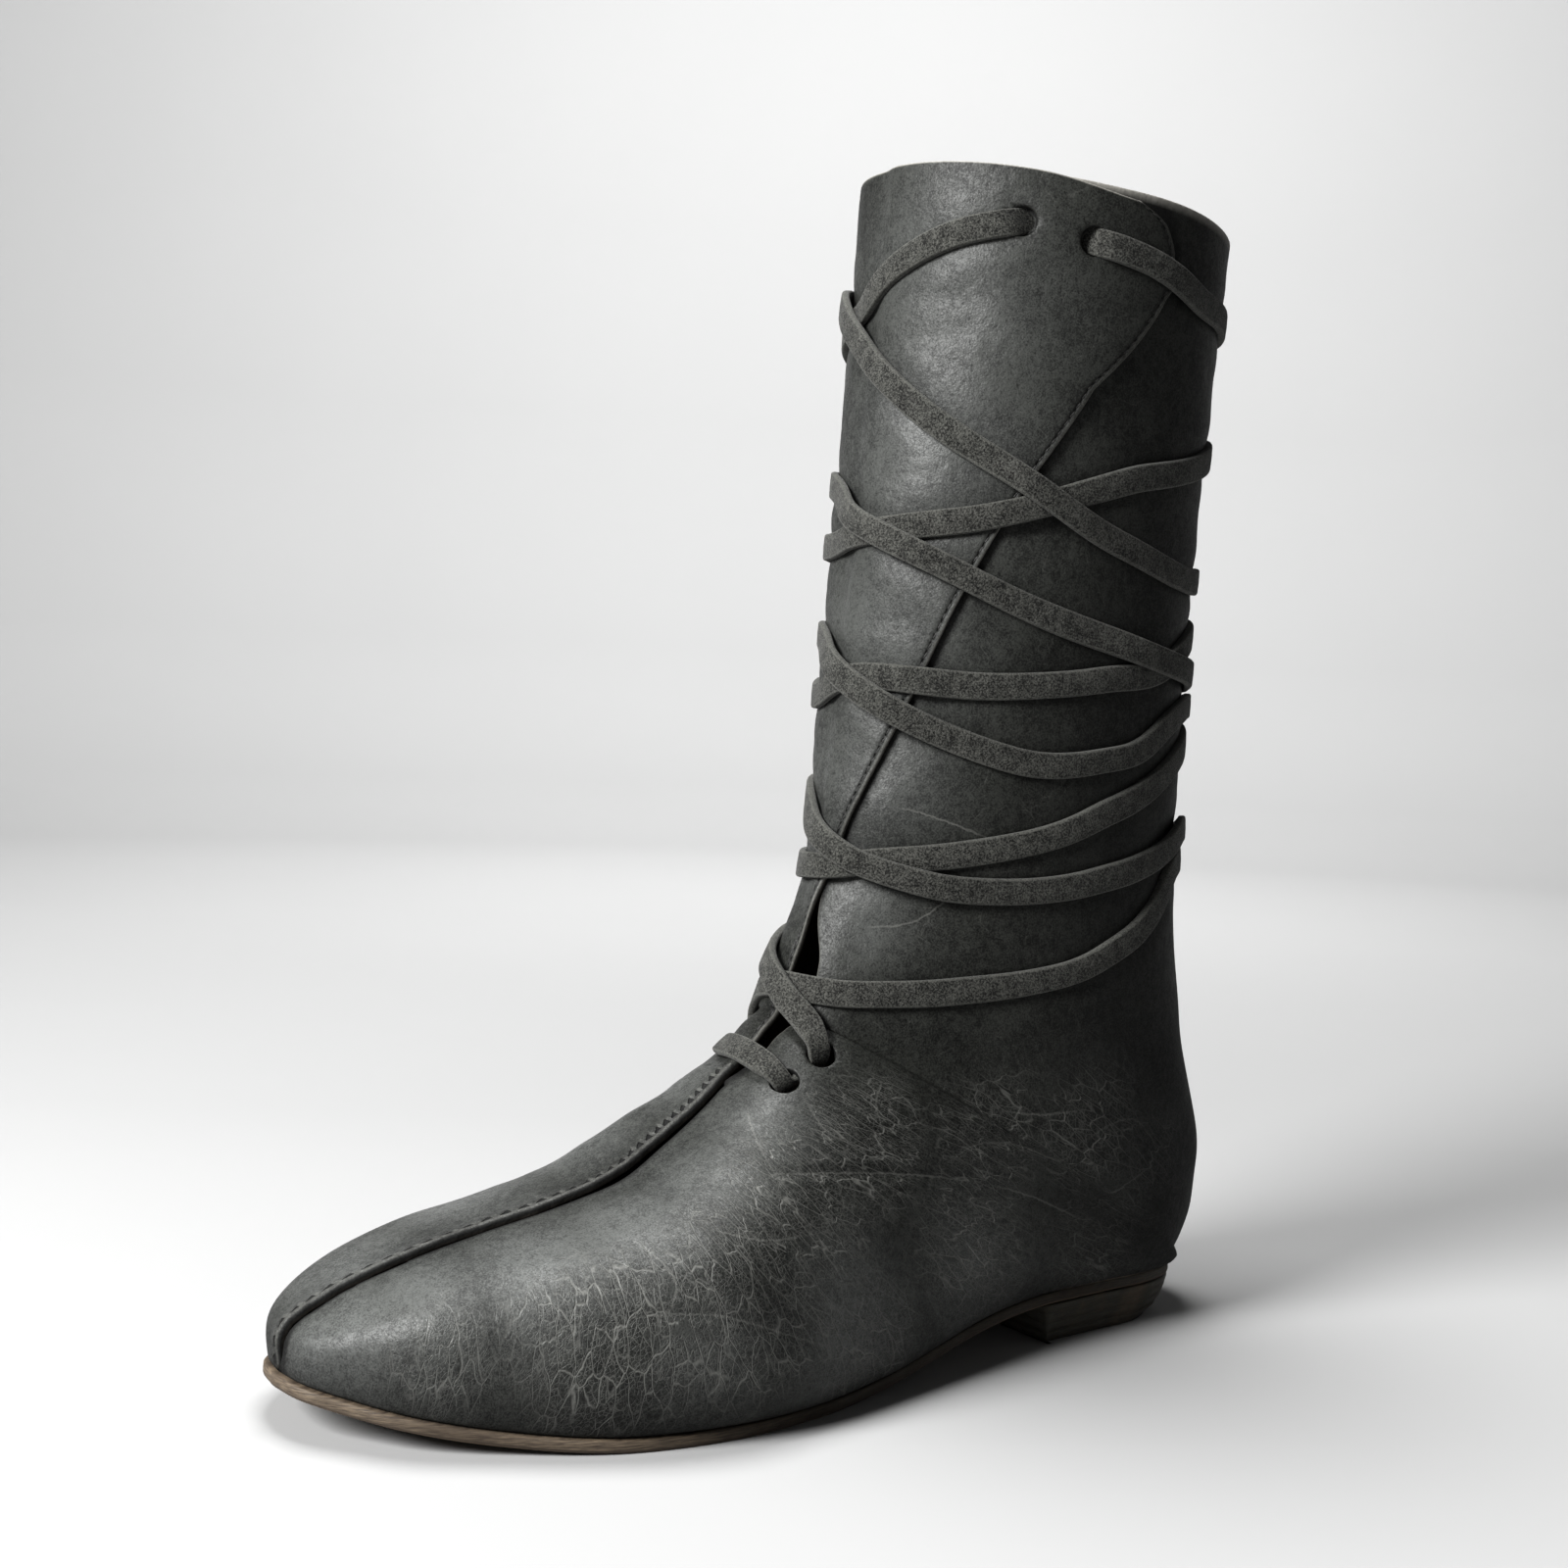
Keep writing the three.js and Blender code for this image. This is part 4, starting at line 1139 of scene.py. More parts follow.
def lace_outline():
    """The strap's flat section with soft corners: across and up, in shares of its size."""
    wide, high = LACE_WIDTH / 2 - LACE_CORNER, LACE_THICKNESS / 2 - LACE_CORNER
    across, up = [], []
    for k, (x, y) in enumerate(((wide, high), (-wide, high), (-wide, -high), (wide, -high))):
        for turn in np.linspace(0, math.pi / 2, 4) + k * math.pi / 2:
            across.append(x + LACE_CORNER * math.cos(turn))
            up.append(y + LACE_CORNER * math.sin(turn))
        if k in (0, 2):
            across.append(0)
            up.append((1 if k == 0 else -1) * (LACE_THICKNESS / 2 + LACE_DOME))
    return np.array(across) / LACE_WIDTH, np.array(up) / LACE_THICKNESS


def make_lace(name):
    middle, run, up, squeeze = lace_line()
    across = np.cross(run, up)
    wide, high = lace_outline()
    steps, around = len(middle), len(wide)
    along = np.arange(steps) * LACE_STEP
    wander = 1 + 0.03 * np.sin(along / 23) + 0.02 * np.sin(along / 9.1 + 1)
    width = LACE_WIDTH * wander * squeeze
    thick = LACE_THICKNESS * (1 + 0.03 * np.sin(along / 14 + 2))
    points = (
        middle[:, None]
        + across[:, None] * (wide[None] * width[:, None])[..., None]
        + up[:, None] * (high[None] * thick[:, None])[..., None]
    )
    index = np.arange(steps * around).reshape(steps, around)
    closed = np.concatenate([index, index[:, :1]], axis=1)
    quads = np.stack([closed[:-1, :-1], closed[:-1, 1:], closed[1:, 1:], closed[1:, :-1]], -1)
    faces = quads.reshape(-1, 4).tolist() + [index[0].tolist(), index[-1][::-1].tolist()]
    piece = write_object(name, points.reshape(-1, 3), faces)
    # The strap's narrow sides get a painted highlight.
    edge = np.repeat((np.abs(wide) > 0.44)[None], steps, axis=0)
    add_values(piece, "edge", edge.ravel().astype(float))
    flat = np.stack(
        [np.repeat(along[:, None], around, axis=1), np.repeat(wide[None] * LACE_WIDTH, steps, 0)],
        axis=-1,
    )
    add_flat_map(piece, flat.reshape(-1, 2) / 100)
    return tidy(piece)


# Stitching.


STITCH_RINGS = [
    (-0.5, 0.25), (-0.42, 0.75), (-0.25, 1.0), (0.25, 1.0), (0.42, 0.75), (0.5, 0.25),
]
STITCH_SIDES = 6
# Each line of stitches: panel, edge it follows, distance from it, first and last section
# row, spacing, length, radius, how deep it sinks and its slant.
STITCH_LINES = [
    ("far", "from_edge", STITCH_LINE, 0.55, THROAT - 0.1, 5.2, 3.4, 0.42, 0.1, 0.25),
    ("far", "from_edge", EDGE_STITCH_LINE, THROAT + 0.8, 18.9, 3.0, 2.1, 0.24, 0.05, 0.1),
    ("far", "from_end", 2.6, 12.1, 18.95, 4.0, 2.8, 0.32, 0.05, 0),
    ("near", "from_end", 2.6, 12.1, 18.95, 4.0, 2.8, 0.32, 0.05, 0),
]


def capsule(points, faces, middle, run, up, length, radius):
    """One stitch: a short rounded thread, half sunk in the leather."""
    across = np.cross(run, up)
    start = len(points)
    for share, size in STITCH_RINGS:
        bow = 0.25 * radius * (1 - (2 * share) ** 2)
        for k in range(STITCH_SIDES):
            turn = 2 * math.pi * k / STITCH_SIDES
            ring = across * math.cos(turn) + up * math.sin(turn)
            points.append(middle + run * share * length + up * bow + ring * radius * size)
    faces.extend(ring_quads(len(STITCH_RINGS), STITCH_SIDES, start))
    end = len(points) - STITCH_SIDES
    faces.append([start + k for k in range(STITCH_SIDES)][::-1])
    faces.append([end + k for k in range(STITCH_SIDES)])


def make_stitches(name):
    points, faces = [], []
    for side, edge, distance, low, high, spacing, length, radius, sink, slant in STITCH_LINES:
        sheet = panel(side)
        outside = sheet["place"] + sheet["out"] * outside_height(side)[..., None]
        line, ups = [], []
        for k in np.nonzero((sheet["row"][:, 0] > low) & (sheet["row"][:, 0] < high))[0]:
            order = np.argsort(sheet[edge][k])
            at = sheet[edge][k][order]
            line.append(points_at(distance, at, outside[k, order]))
            ups.append(points_at(distance, at, sheet["out"][k, order]))
        line, ups = np.array(line), unit(np.array(ups))
        along = steps_along(line)
        for at in np.arange(spacing / 2, along[-1], spacing):
            up = unit(points_at(at, along, ups))
            run = unit(points_at(at + 1, along, line) - points_at(at - 1, along, line))
            run = unit(run - (run @ up) * up)
            run = unit(run + slant * np.cross(run, up))
            middle = points_at(at, along, line) - up * sink
            capsule(points, faces, middle, run, up, length, radius)
    return tidy(write_object(name, points, faces))


# Sole and heel.


def footprint(row, side):
    half = between(SECTIONS, "left", row) if side > 0 else -between(SECTIONS, "right", row)
    base = clamp01(between(SECTIONS, "base", row))
    return np.stack(
        [between(SECTIONS, "shift", row) + half * base, world_y(between(SECTIONS, "backY", row))],
        axis=-1,
    )


def sole_margin(along):
    """The sole stands out at the forefoot and is trimmed close at the heel."""
    return mix(SOLE_EDGE, HEEL_EDGE, smooth((WAIST_START - along) / WAIST_RUN))


def heel_margin(along):
    return sole_margin(along) - HEEL_INSET


def sole_ring(rows, margin_at):
    """Left then right outline of the sole, moved outward, with the places along it."""
    left = footprint(rows, 1)
    right = footprint(rows, -1)[::-1]
    ring = np.concatenate([left, right])
    gap = length_of(ring - np.roll(ring, 1, axis=0))
    ahead = np.roll(ring, -1, axis=0)
    back = np.where((gap < 1e-3)[:, None], np.roll(ring, 2, axis=0), np.roll(ring, 1, axis=0))
    near_ahead = length_of(ahead - ring) < 1e-3
    ahead = np.where(near_ahead[:, None], np.roll(ring, -2, axis=0), ahead)
    run = unit(ahead - back)
    along = np.concatenate([between(SECTIONS, "backY", rows)] * 2)
    along[len(rows):] = along[len(rows):][::-1]
    normal = np.stack([run[:, 1], -run[:, 0]], axis=-1)
    return ring + normal * margin_at(along)[:, None], normal, along


def ring_body(name, rows, margin_at, profile, top_at, bottom_at, wear_at=None):
    """A flat body with its outline at the given rows and a rounded edge: each profile
    row is the inset from the outline, the share of the way down and a drop in mm."""
    ring, normal, along = sole_ring(rows, margin_at)
    top = top_at(along)
    bottom = bottom_at(along)
    worn = wear_at(along) if wear_at else np.zeros(len(ring))
    count = len(ring)
    points = []
    for inset, share, drop in profile:
        flat = ring - normal * (inset + worn * share**3)[:, None]
        z = mix(top, bottom, share) + drop
        points.extend(np.column_stack([flat, z]))
    faces = ring_quads(len(profile), count, flip=True)
    half = count // 2
    for k, flip in ((0, False), (len(profile) - 1, True)):
        for j in range(half - 1):
            a = k * count + j
            b = k * count + count - 1 - j
            quad = [a, a + 1, b - 1, b]
            faces.append(quad[::-1] if flip else quad)
    piece = write_object(name, points, faces)
    around = steps_along(ring)
    levels = np.array([mix(top, bottom, share) + drop for _, share, drop in profile])
    flat = np.stack([np.repeat(around[None], len(profile), 0), levels], axis=-1).reshape(-1, 2)
    add_flat_map(piece, flat / 100)
    return tidy(piece)


SOLE_PROFILE = [
    (3.0, 0, 0), (0.9, 0, 0), (0.35, 0, -0.12), (0.05, 0, -0.45), (0.0, 0.35, 0),
    (0.0, 0.7, 0), (0.12, 1, 0.55), (0.45, 1, 0.18), (1.0, 1, 0.0), (3.0, 1, 0.0),
]
HEEL_EDGE = 0.3
HEEL_INSET = 0.3
WAIST_START = HEEL_LENGTH + 30
WAIST_RUN = 60
HEEL_WEAR = 5.0
WEAR_RUN = 30
HEEL_LIFTS = 4
SOLE_STEP = 2.2


def sole_rows(start):
    fine = np.linspace(start, HEEL_END, 1200)
    run = steps_along(footprint(fine, 1))
    return np.interp(np.linspace(0, run[-1], int(run[-1] / SOLE_STEP)), run, fine)


def make_outsole(name):
    return ring_body(name, sole_rows(0), sole_margin, SOLE_PROFILE, sole_top, sole_under)


def make_heel(name):
    fine = np.linspace(6, HEEL_END, 4000)
    start = fine[int(np.argmax(between(SECTIONS, "backY", fine) < HEEL_LENGTH))]
    profile = [(2.0, 0, 0), (0.5, 0, 0), (0.15, 0, -0.15), (0, 0, -0.5)]
    for lift in range(1, HEEL_LIFTS):
        share = lift / HEEL_LIFTS
        inset = HEEL_TAPER * share
        profile += [(inset, share, 0.28), (inset + 0.22, share, 0), (inset, share, -0.28)]
    low = HEEL_TAPER
    profile += [(low, 1, 0.5), (low + 0.15, 1, 0.15), (low + 0.5, 1, 0), (low + 2, 1, 0)]
    return ring_body(
        name, sole_rows(start), heel_margin, profile,
        top_at=lambda along: sole_under(along) - FIT_GAP,
        bottom_at=lambda along: along * 0,
        wear_at=lambda along: HEEL_WEAR * smooth((0.5 * HEEL_LENGTH - along) / WEAR_RUN),
    )


# Shader helpers and the groups that several materials share.


class Shader:
    """Short calls for adding nodes to a tree and joining them."""

    def __init__(self, tree):
        self.tree = tree

    def node(self, kind, inputs=None, **settings):
        node = self.tree.nodes.new(kind)
        for key, value in settings.items():
            setattr(node, key, value)
        self.fill(node, inputs or {})
        return node

    def fill(self, node, inputs):
        for key, value in inputs.items():
            self.feed(node.inputs[key], value)

    def feed(self, socket, value):
        """Joins a socket, or sets its value; colours are given without alpha."""
        if isinstance(value, bpy.types.NodeSocket):
            self.tree.links.new(value, socket)
        else:
            socket.default_value = (*value, 1) if socket.type == "RGBA" else value

    def math(self, operation, a, b=0.0):
        return self.node("ShaderNodeMath", {0: a, 1: b}, operation=operation).outputs[0]

    def times(self, a, b):
        return self.math("MULTIPLY", a, b)

    def plus(self, a, b):
        return self.math("ADD", a, b)

    def minus(self, a, b):
        return self.math("SUBTRACT", a, b)

    def larger(self, a, b):
        return self.math("MAXIMUM", a, b)

    def vector(self, operation, a, b):
        node = self.node("ShaderNodeVectorMath", operation=operation)
        self.fill(node, {0: a, "Scale" if operation == "SCALE" else 1: b})
        return node.outputs[0]

    def parts(self, vector):
        return self.node("ShaderNodeSeparateXYZ", {"Vector": vector}).outputs

    def flat(self):
        """The leather's flat map, in decimetres."""
        return self.node("ShaderNodeUVMap", uv_map="leather").outputs[0]

    def solid(self):
        """Places in space, in metres."""
        return self.node("ShaderNodeTexCoord").outputs["Object"]

    def stretched(self, vector, x, y):
        return self.node("ShaderNodeMapping", {"Vector": vector, "Scale": (x, y, 1.0)}).outputs[0]

    def blend(self, factor, a, b):
        node = self.node("ShaderNodeMix", data_type="RGBA")
        self.fill(node, {0: factor, 6: a, 7: b})
        return node.outputs[2]

    def remap(self, value, low, high, to_low=0.0, to_high=1.0):
        inputs = dict(enumerate((value, low, high, to_low, to_high)))
        node = self.node("ShaderNodeMapRange", inputs, interpolation_type="SMOOTHSTEP")
        return node.outputs[0]

    def noise(self, vector, scale, detail=3.0, roughness=0.55):
        inputs = {"Vector": vector, "Scale": scale, "Detail": detail, "Roughness": roughness}
        return self.node("ShaderNodeTexNoise", inputs).outputs[0]

    def value(self, name):
        return self.node("ShaderNodeAttribute", attribute_name=name).outputs["Fac"]

    def group(self, name, inputs):
        return self.node("ShaderNodeGroup", inputs, node_tree=effect(name)).outputs


def new_group(name, inputs, outputs):
    group = bpy.data.node_groups.new(name, "ShaderNodeTree")
    for label, kind, default in inputs:
        socket = group.interface.new_socket(label, in_out="INPUT", socket_type=kind)
        if default is not None:
            socket.default_value = default
    for label, kind in outputs:
        group.interface.new_socket(label, in_out="OUTPUT", socket_type=kind)
    shader = Shader(group)
    return group, shader, shader.node("NodeGroupInput").outputs, shader.node("NodeGroupOutput")


VECTOR, NUMBER = "NodeSocketVector", "NodeSocketFloat"


def crackle_group():
    """Broken light lines between cells, as in a cracked finish."""
    group, shader, given, result = new_group(
        "cracked finish",
        [("Place", VECTOR, None), ("Cells", NUMBER, 16.0), ("Line", NUMBER, 0.05),
         ("Wander", NUMBER, 0.02), ("Broken", NUMBER, 0.4)],
        [("Lines", NUMBER)],
    )
    wobble = shader.node("ShaderNodeTexNoise", {"Vector": given["Place"], "Scale": 26.0})
    centred = shader.vector("SUBTRACT", wobble.outputs["Color"], (0.5, 0.5, 0.5))
    moved = shader.vector("ADD", given["Place"], shader.vector("SCALE", centred, given["Wander"]))
    inputs = {"Vector": moved, "Scale": given["Cells"]}
    cells = shader.node("ShaderNodeTexVoronoi", inputs, feature="DISTANCE_TO_EDGE")
    line = shader.remap(cells.outputs["Distance"], 0.0, given["Line"], 1.0, 0.0)
    gaps = shader.noise(given["Place"], 21.0, 2.0)
    kept = shader.remap(gaps, shader.minus(given["Broken"], 0.08), given["Broken"])
    shader.feed(result.inputs["Lines"], shader.times(line, kept))
    return group


def grain_group():
    """Pebbled grain with a slow mottle."""
    group, shader, given, result = new_group(
        "leather grain",
        [("Place", VECTOR, None), ("Pebble", NUMBER, 90.0), ("Patch", NUMBER, 5.0)],
        [("Height", NUMBER), ("Mottle", NUMBER)],
    )
    inputs = {"Vector": given["Place"], "Scale": given["Pebble"]}
    pebble = shader.node("ShaderNodeTexVoronoi", inputs, feature="SMOOTH_F1")
    fine = shader.noise(given["Place"], shader.times(given["Pebble"], 1.7), 2.0)
    height = shader.plus(shader.times(pebble.outputs[0], -0.6), fine)
    shader.feed(result.inputs["Height"], height)
    slow = shader.noise(given["Place"], given["Patch"], 5.0, 0.62)
    small = shader.noise(given["Place"], shader.times(given["Patch"], 7.0), 3.0, 0.6)
    mottle = shader.plus(shader.times(slow, 0.65), shader.times(small, 0.35))
    shader.feed(result.inputs["Mottle"], shader.remap(mottle, 0.36, 0.64))
    return group


def nap_group():
    """Short suede nap: flecks of light and dark, and their height."""
    group, shader, given, result = new_group(
        "suede nap",
        [("Place", VECTOR, None), ("Fleck", NUMBER, 120.0)],
        [("Height", NUMBER), ("Flecks", NUMBER)],
    )
    fleck = shader.noise(given["Place"], given["Fleck"], 4.0, 0.7)
    patch = shader.noise(given["Place"], shader.times(given["Fleck"], 0.16), 3.0, 0.6)
    both = shader.plus(shader.times(fleck, 0.78), shader.times(patch, 0.22))
    shader.feed(result.inputs["Height"], fleck)
    shader.feed(result.inputs["Flecks"], shader.remap(both, 0.38, 0.66))
    return group


def dust_group():
    """Pale dust and rubbed patches, as a mask."""
    group, shader, given, result = new_group(
        "dust and rub",
        [("Place", VECTOR, None), ("Size", NUMBER, 8.0), ("Amount", NUMBER, 0.3)],
        [("Mask", NUMBER)],
    )
    patch = shader.noise(given["Place"], given["Size"], 6.0, 0.68)
    low = shader.minus(0.78, shader.times(given["Amount"], 0.4))
    high = shader.plus(low, 0.16)
    shader.feed(result.inputs["Mask"], shader.remap(patch, low, high))
    return group


# The seam's dark marks and puckers lie a little past its thread, in millimetres.
SEAM_MARKS = 3.4


def stitch_group():
    """A row of slanted stitch marks along an edge, as a mask; lengths in millimetres."""
    group, shader, given, result = new_group(
        "stitch marks",
        [("Along", NUMBER, 0.0), ("Across", NUMBER, 0.0), ("Line", NUMBER, SEAM_MARKS),
         ("Pitch", NUMBER, STITCH_PITCH), ("Length", NUMBER, 3.2), ("Width", NUMBER, 1.0),
         ("Slant", NUMBER, 0.4)],
        [("Mask", NUMBER)],
    )
    off = shader.minus(given["Across"], given["Line"])
    along = shader.plus(given["Along"], shader.times(off, given["Slant"]))
    shifted = shader.math("DIVIDE", along, given["Pitch"])
    share = shader.minus(shader.math("FRACT", shifted), 0.5)
    shift = shader.times(share, given["Pitch"])
    reach = shader.math("ABSOLUTE", shift)
    slope = shader.times(shift, given["Slant"])
    side = shader.math("ABSOLUTE", shader.minus(off, slope))
    half_length = shader.times(given["Length"], 0.5)
    half_width = shader.times(given["Width"], 0.5)
    in_length = shader.remap(shader.minus(reach, half_length), -0.25, 0.25, 1.0, 0.0)
    in_width = shader.remap(shader.minus(side, half_width), -0.2, 0.2, 1.0, 0.0)
    shader.feed(result.inputs["Mask"], shader.times(in_length, in_width))
    return group


EFFECTS = {
    "cracked finish": crackle_group,
    "stitch marks": stitch_group,
    "leather grain": grain_group,
    "suede nap": nap_group,
    "dust and rub": dust_group,
}


def effect(name):
    """One of the shared groups, built the first time it is asked for."""
    return bpy.data.node_groups.get(name) or EFFECTS[name]()


def new_material(name):
    material = bpy.data.materials.new(name)
    material.use_nodes = True
    material.node_tree.nodes.clear()
    shader = Shader(material.node_tree)
    principled = shader.node("ShaderNodeBsdfPrincipled")
    output = shader.node("ShaderNodeOutputMaterial")
    material.node_tree.links.new(principled.outputs[0], output.inputs[0])
    return material, shader, principled


def bump(shader, principled, heights):
    """Adds heights, each with a strength and a depth in millimetres, one upon another."""
    normal = None
    for height, strength, depth in heights:
        node = shader.node(
            "ShaderNodeBump", {"Height": height, "Strength": strength, "Distance": depth * MM}
        )
        if normal is not None:
            shader.feed(node.inputs["Normal"], normal)
        normal = node.outputs[0]
    shader.feed(principled.inputs["Normal"], normal)


DECIMETRES = 10
TONE_RANGE = (0.36, 0.62)
DUST = (0.11, 0.108, 0.10)
# Tone of dirt and of painted shade and shadow.
GRIME_AND_SHADE = (0.004, 0.004, 0.004)
CUT_TONES = (0.11, 0.106, 0.096), (0.36, 0.35, 0.32)
LINING_TONES = (0.022, 0.019, 0.016), (0.04, 0.035, 0.029)
LEATHER_GLOSS = 0.19


def leather_material(name, settings):
    """Charcoal upper leather: mottled, cracked where it flexes, with a painted sheen where the
    light falls on toe, vamp and flap.
    """
    material, shader, principled = new_material(name)
    flat = shader.flat()
    solid = shader.vector("SCALE", shader.solid(), DECIMETRES)

    def cracks(place, cells, line, broken):
        given = {"Place": place, "Cells": cells, "Line": line, "Broken": broken}
        return shader.group("cracked finish", given)["Lines"]

    long_cells = shader.stretched(flat, 1.0, 0.34)
    coarse = cracks(long_cells, 25.0, 0.045, 0.40)
    middle = cracks(long_cells, 48.0, 0.060, 0.46)
    fine = cracks(flat, 75.0, 0.090, 0.46)
    patches = shader.noise(solid, 5.0, 4.0, 0.6)
    zone = shader.plus(shader.value("crackle"), shader.times(patches, 0.5))
    zone = shader.remap(zone, 0.45, 1.0)
    lines = shader.larger(coarse, shader.times(middle, 0.6))
    lines = shader.larger(lines, shader.times(fine, 0.5))
    lines = shader.times(lines, zone)
    scratches = cracks(solid, 6.0, 0.010, 0.58)

    grain = shader.group("leather grain", {"Place": solid, "Pebble": 95.0, "Patch": 4.0})
    fleck = shader.noise(solid, 55.0, 4.0, 0.7)
    speck = shader.noise(solid, 210.0, 2.0, 0.6)
    tone = shader.times(grain["Mottle"], 0.10)
    tone = shader.plus(tone, shader.times(fleck, 0.35))
    tone = shader.plus(tone, shader.times(speck, 0.55))
    dark, light = settings.leather_dark, settings.leather_light
    colour = shader.blend(shader.remap(tone, *TONE_RANGE), dark, light)
    # Painted sheen: a paler tone where the light falls, mottled with the leather's tone.
    sheen_and_polish = shader.times(shader.value("sheen_and_polish"), shader.remap(tone, *TONE_RANGE, 0.45, 1.0))
    colour = shader.blend(shader.times(sheen_and_polish, 0.7), colour, settings.leather_painted_sheen)
    colour = shader.blend(shader.times(lines, 0.55), colour, settings.crack_colour)
    waver = shader.times(shader.minus(fleck, 0.5), 1.6)
    off_line = shader.math("ABSOLUTE", shader.plus(shader.value("across_fold"), waver))
    crease = shader.times(shader.remap(off_line, 0.10, 0.42, 1.0, 0.0), shader.value("crease"))
    crease = shader.larger(crease, shader.times(scratches, 0.35))
    colour = shader.blend(shader.times(crease, 0.3), colour, settings.crack_colour)
    rubbed = shader.group("dust and rub", {"Place": solid, "Size": 7.0, "Amount": 0.3})["Mask"]
    rubbed = shader.times(rubbed, shader.remap(speck, 0.4, 0.65))
    colour = shader.blend(shader.times(rubbed, 0.25), colour, DUST)

    across = shader.parts(flat)
    run, off = (shader.times(across[k], 1 / DECIMETRES / MM) for k in range(2))

    def stitch_marks(where, **sizes):
        mask = shader.group("stitch marks", {"Along": run, "Across": off, **sizes})["Mask"]
        return shader.times(mask, shader.value(where))

    marks = stitch_marks("seam", Pitch=STITCH_PITCH, Length=3.2, Width=1.8)
    hem = stitch_marks("hem", Line=EDGE_STITCH_LINE, Pitch=3.0, Length=1.9, Width=0.35, Slant=0.1)
    marks = shader.larger(marks, shader.times(hem, 0.7))
    between_marks = shader.plus(run, STITCH_PITCH / 2)
    pucker = stitch_marks(
        "seam", Along=between_marks, Pitch=STITCH_PITCH, Length=2.6, Width=3.4, Slant=0.6
    )
    rub = shader.times(pucker, shader.remap(fleck, 0.4, 0.6, 0.05, 0.22))
    colour = shader.blend(rub, colour, settings.crack_colour)
    # Stitch marks, dirt and painted shade and shadow darken the colour together.
    grime_and_shade = shader.larger(marks, shader.value("grime_and_shade"))
    colour = shader.blend(shader.times(grime_and_shade, 0.85), colour, GRIME_AND_SHADE)
    cut_tone = shader.blend(fleck, *CUT_TONES)
    colour = shader.blend(shader.times(shader.value("cut"), 0.9), colour, cut_tone)
    inner = shader.blend(grain["Mottle"], *LINING_TONES)
    colour = shader.blend(shader.value("lining"), colour, inner)

    rough = shader.remap(tone, *TONE_RANGE, 0.56, 0.43)
    rough = shader.minus(rough, shader.times(sheen_and_polish, 0.08))
    dull = shader.larger(grime_and_shade, shader.value("lining"))
    rough = shader.plus(rough, shader.times(dull, 0.3))
    inputs = {"Base Color": colour, "Roughness": rough, "Specular IOR Level": LEATHER_GLOSS}
    shader.fill(principled, inputs)
    bump(shader, principled, [
        (shader.noise(solid, 13.0, 4.0, 0.6), 0.5, 0.8),
        (fleck, 0.5, 0.22),
        (lines, 0.8, -0.2),
        (marks, 1.0, -0.6),
        (pucker, 0.5, 0.25),
        (grain["Height"], 0.6, 0.14),
    ])
    return material


def suede_material(name, settings):
    """Flat lace of dark suede with a fleecy nap and a painted highlight on its edges."""
    material, shader, principled = new_material(name)
    place = shader.vector("SCALE", shader.solid(), DECIMETRES)
    nap = shader.group("suede nap", {"Place": place, "Fleck": 190.0})
    colour = shader.blend(nap["Flecks"], settings.lace_dark, settings.lace_light)
    # Painted highlight along the lace's edges, flecked by the nap.
    edge = shader.times(shader.value("edge"), shader.remap(nap["Height"], 0.3, 0.6, 0.2, 0.8))
    colour = shader.blend(edge, colour, settings.lace_light)
    shader.fill(principled, {
        "Base Color": colour, "Roughness": 0.92, "Specular IOR Level": 0.25,
        "Sheen Weight": 0.10, "Sheen Roughness": 0.4,
    })
    bump(shader, principled, [(nap["Height"], 0.9, 0.45)])
    return material


def thread_material(name):
    material, shader, principled = new_material(name)
    inputs = {"Vector": shader.solid(), "Scale": 900.0, "Distortion": 1.0}
    twist = shader.node("ShaderNodeTexWave", inputs).outputs[1]
    colour = shader.blend(twist, (0.012, 0.012, 0.012), (0.035, 0.034, 0.032))
    shader.fill(principled, {"Base Color": colour, "Roughness": 0.6})
    bump(shader, principled, [(twist, 0.5, 0.1)])
    return material


def layered(shader, stretch, patches, dark, light):
    """Leather fibre in layers: the fibre, its slow patches and the colour."""
    fibre = shader.noise(shader.stretched(shader.flat(), *stretch), 3.0, 4.0, 0.65)
    patch = shader.noise(shader.solid(), patches, 4.0, 0.6)
    return fibre, patch, shader.blend(shader.remap(fibre, 0.3, 0.7), dark, light)


def sole_material(name, settings):
    """Raw tan leather: layered at the edge, stained toward the heel with painted shade under the
    arch, painted shade on faces turned down, scuffed underneath.
    """
    material, shader, principled = new_material(name)
    dark, light = settings.sole_dark, settings.sole_light
    fibre, patch, colour = layered(shader, (6.0, 90.0), 40.0, dark, light)
    colour = shader.blend(shader.remap(patch, 0.42, 0.7, 0.0, 0.6), colour, dark)
    # Dark brown stain toward the heel, also painted shade under the arch.
    stain_and_shade = (0.010, 0.007, 0.004), (0.035, 0.025, 0.014)
    stained = shader.blend(shader.remap(fibre, 0.3, 0.7), *stain_and_shade)
    back = shader.plus(shader.parts(shader.solid())["Y"], shader.times(patch, 0.03))
    colour = shader.blend(shader.remap(back, -0.19, -0.09), colour, stained)
    facing = shader.parts(shader.node("ShaderNodeNewGeometry").outputs["Normal"])["Z"]
    # Painted shade on faces turned downward, on the lower part of the edge.
    colour = shader.blend(shader.remap(facing, -0.02, -0.35, 0.0, 0.75), colour, dark)
    scuff = (0.05, 0.033, 0.02), (0.13, 0.095, 0.062)
    scuffed = shader.blend(shader.remap(patch, 0.35, 0.65), *scuff)
    colour = shader.blend(shader.remap(facing, -0.35, -0.8), colour, scuffed)
    rough = shader.remap(patch, 0.3, 0.7, 0.62, 0.85)
    shader.fill(principled, {"Base Color": colour, "Roughness": rough})
    bump(shader, principled, [(fibre, 0.6, 0.3), (patch, 0.3, 0.4)])
    return material


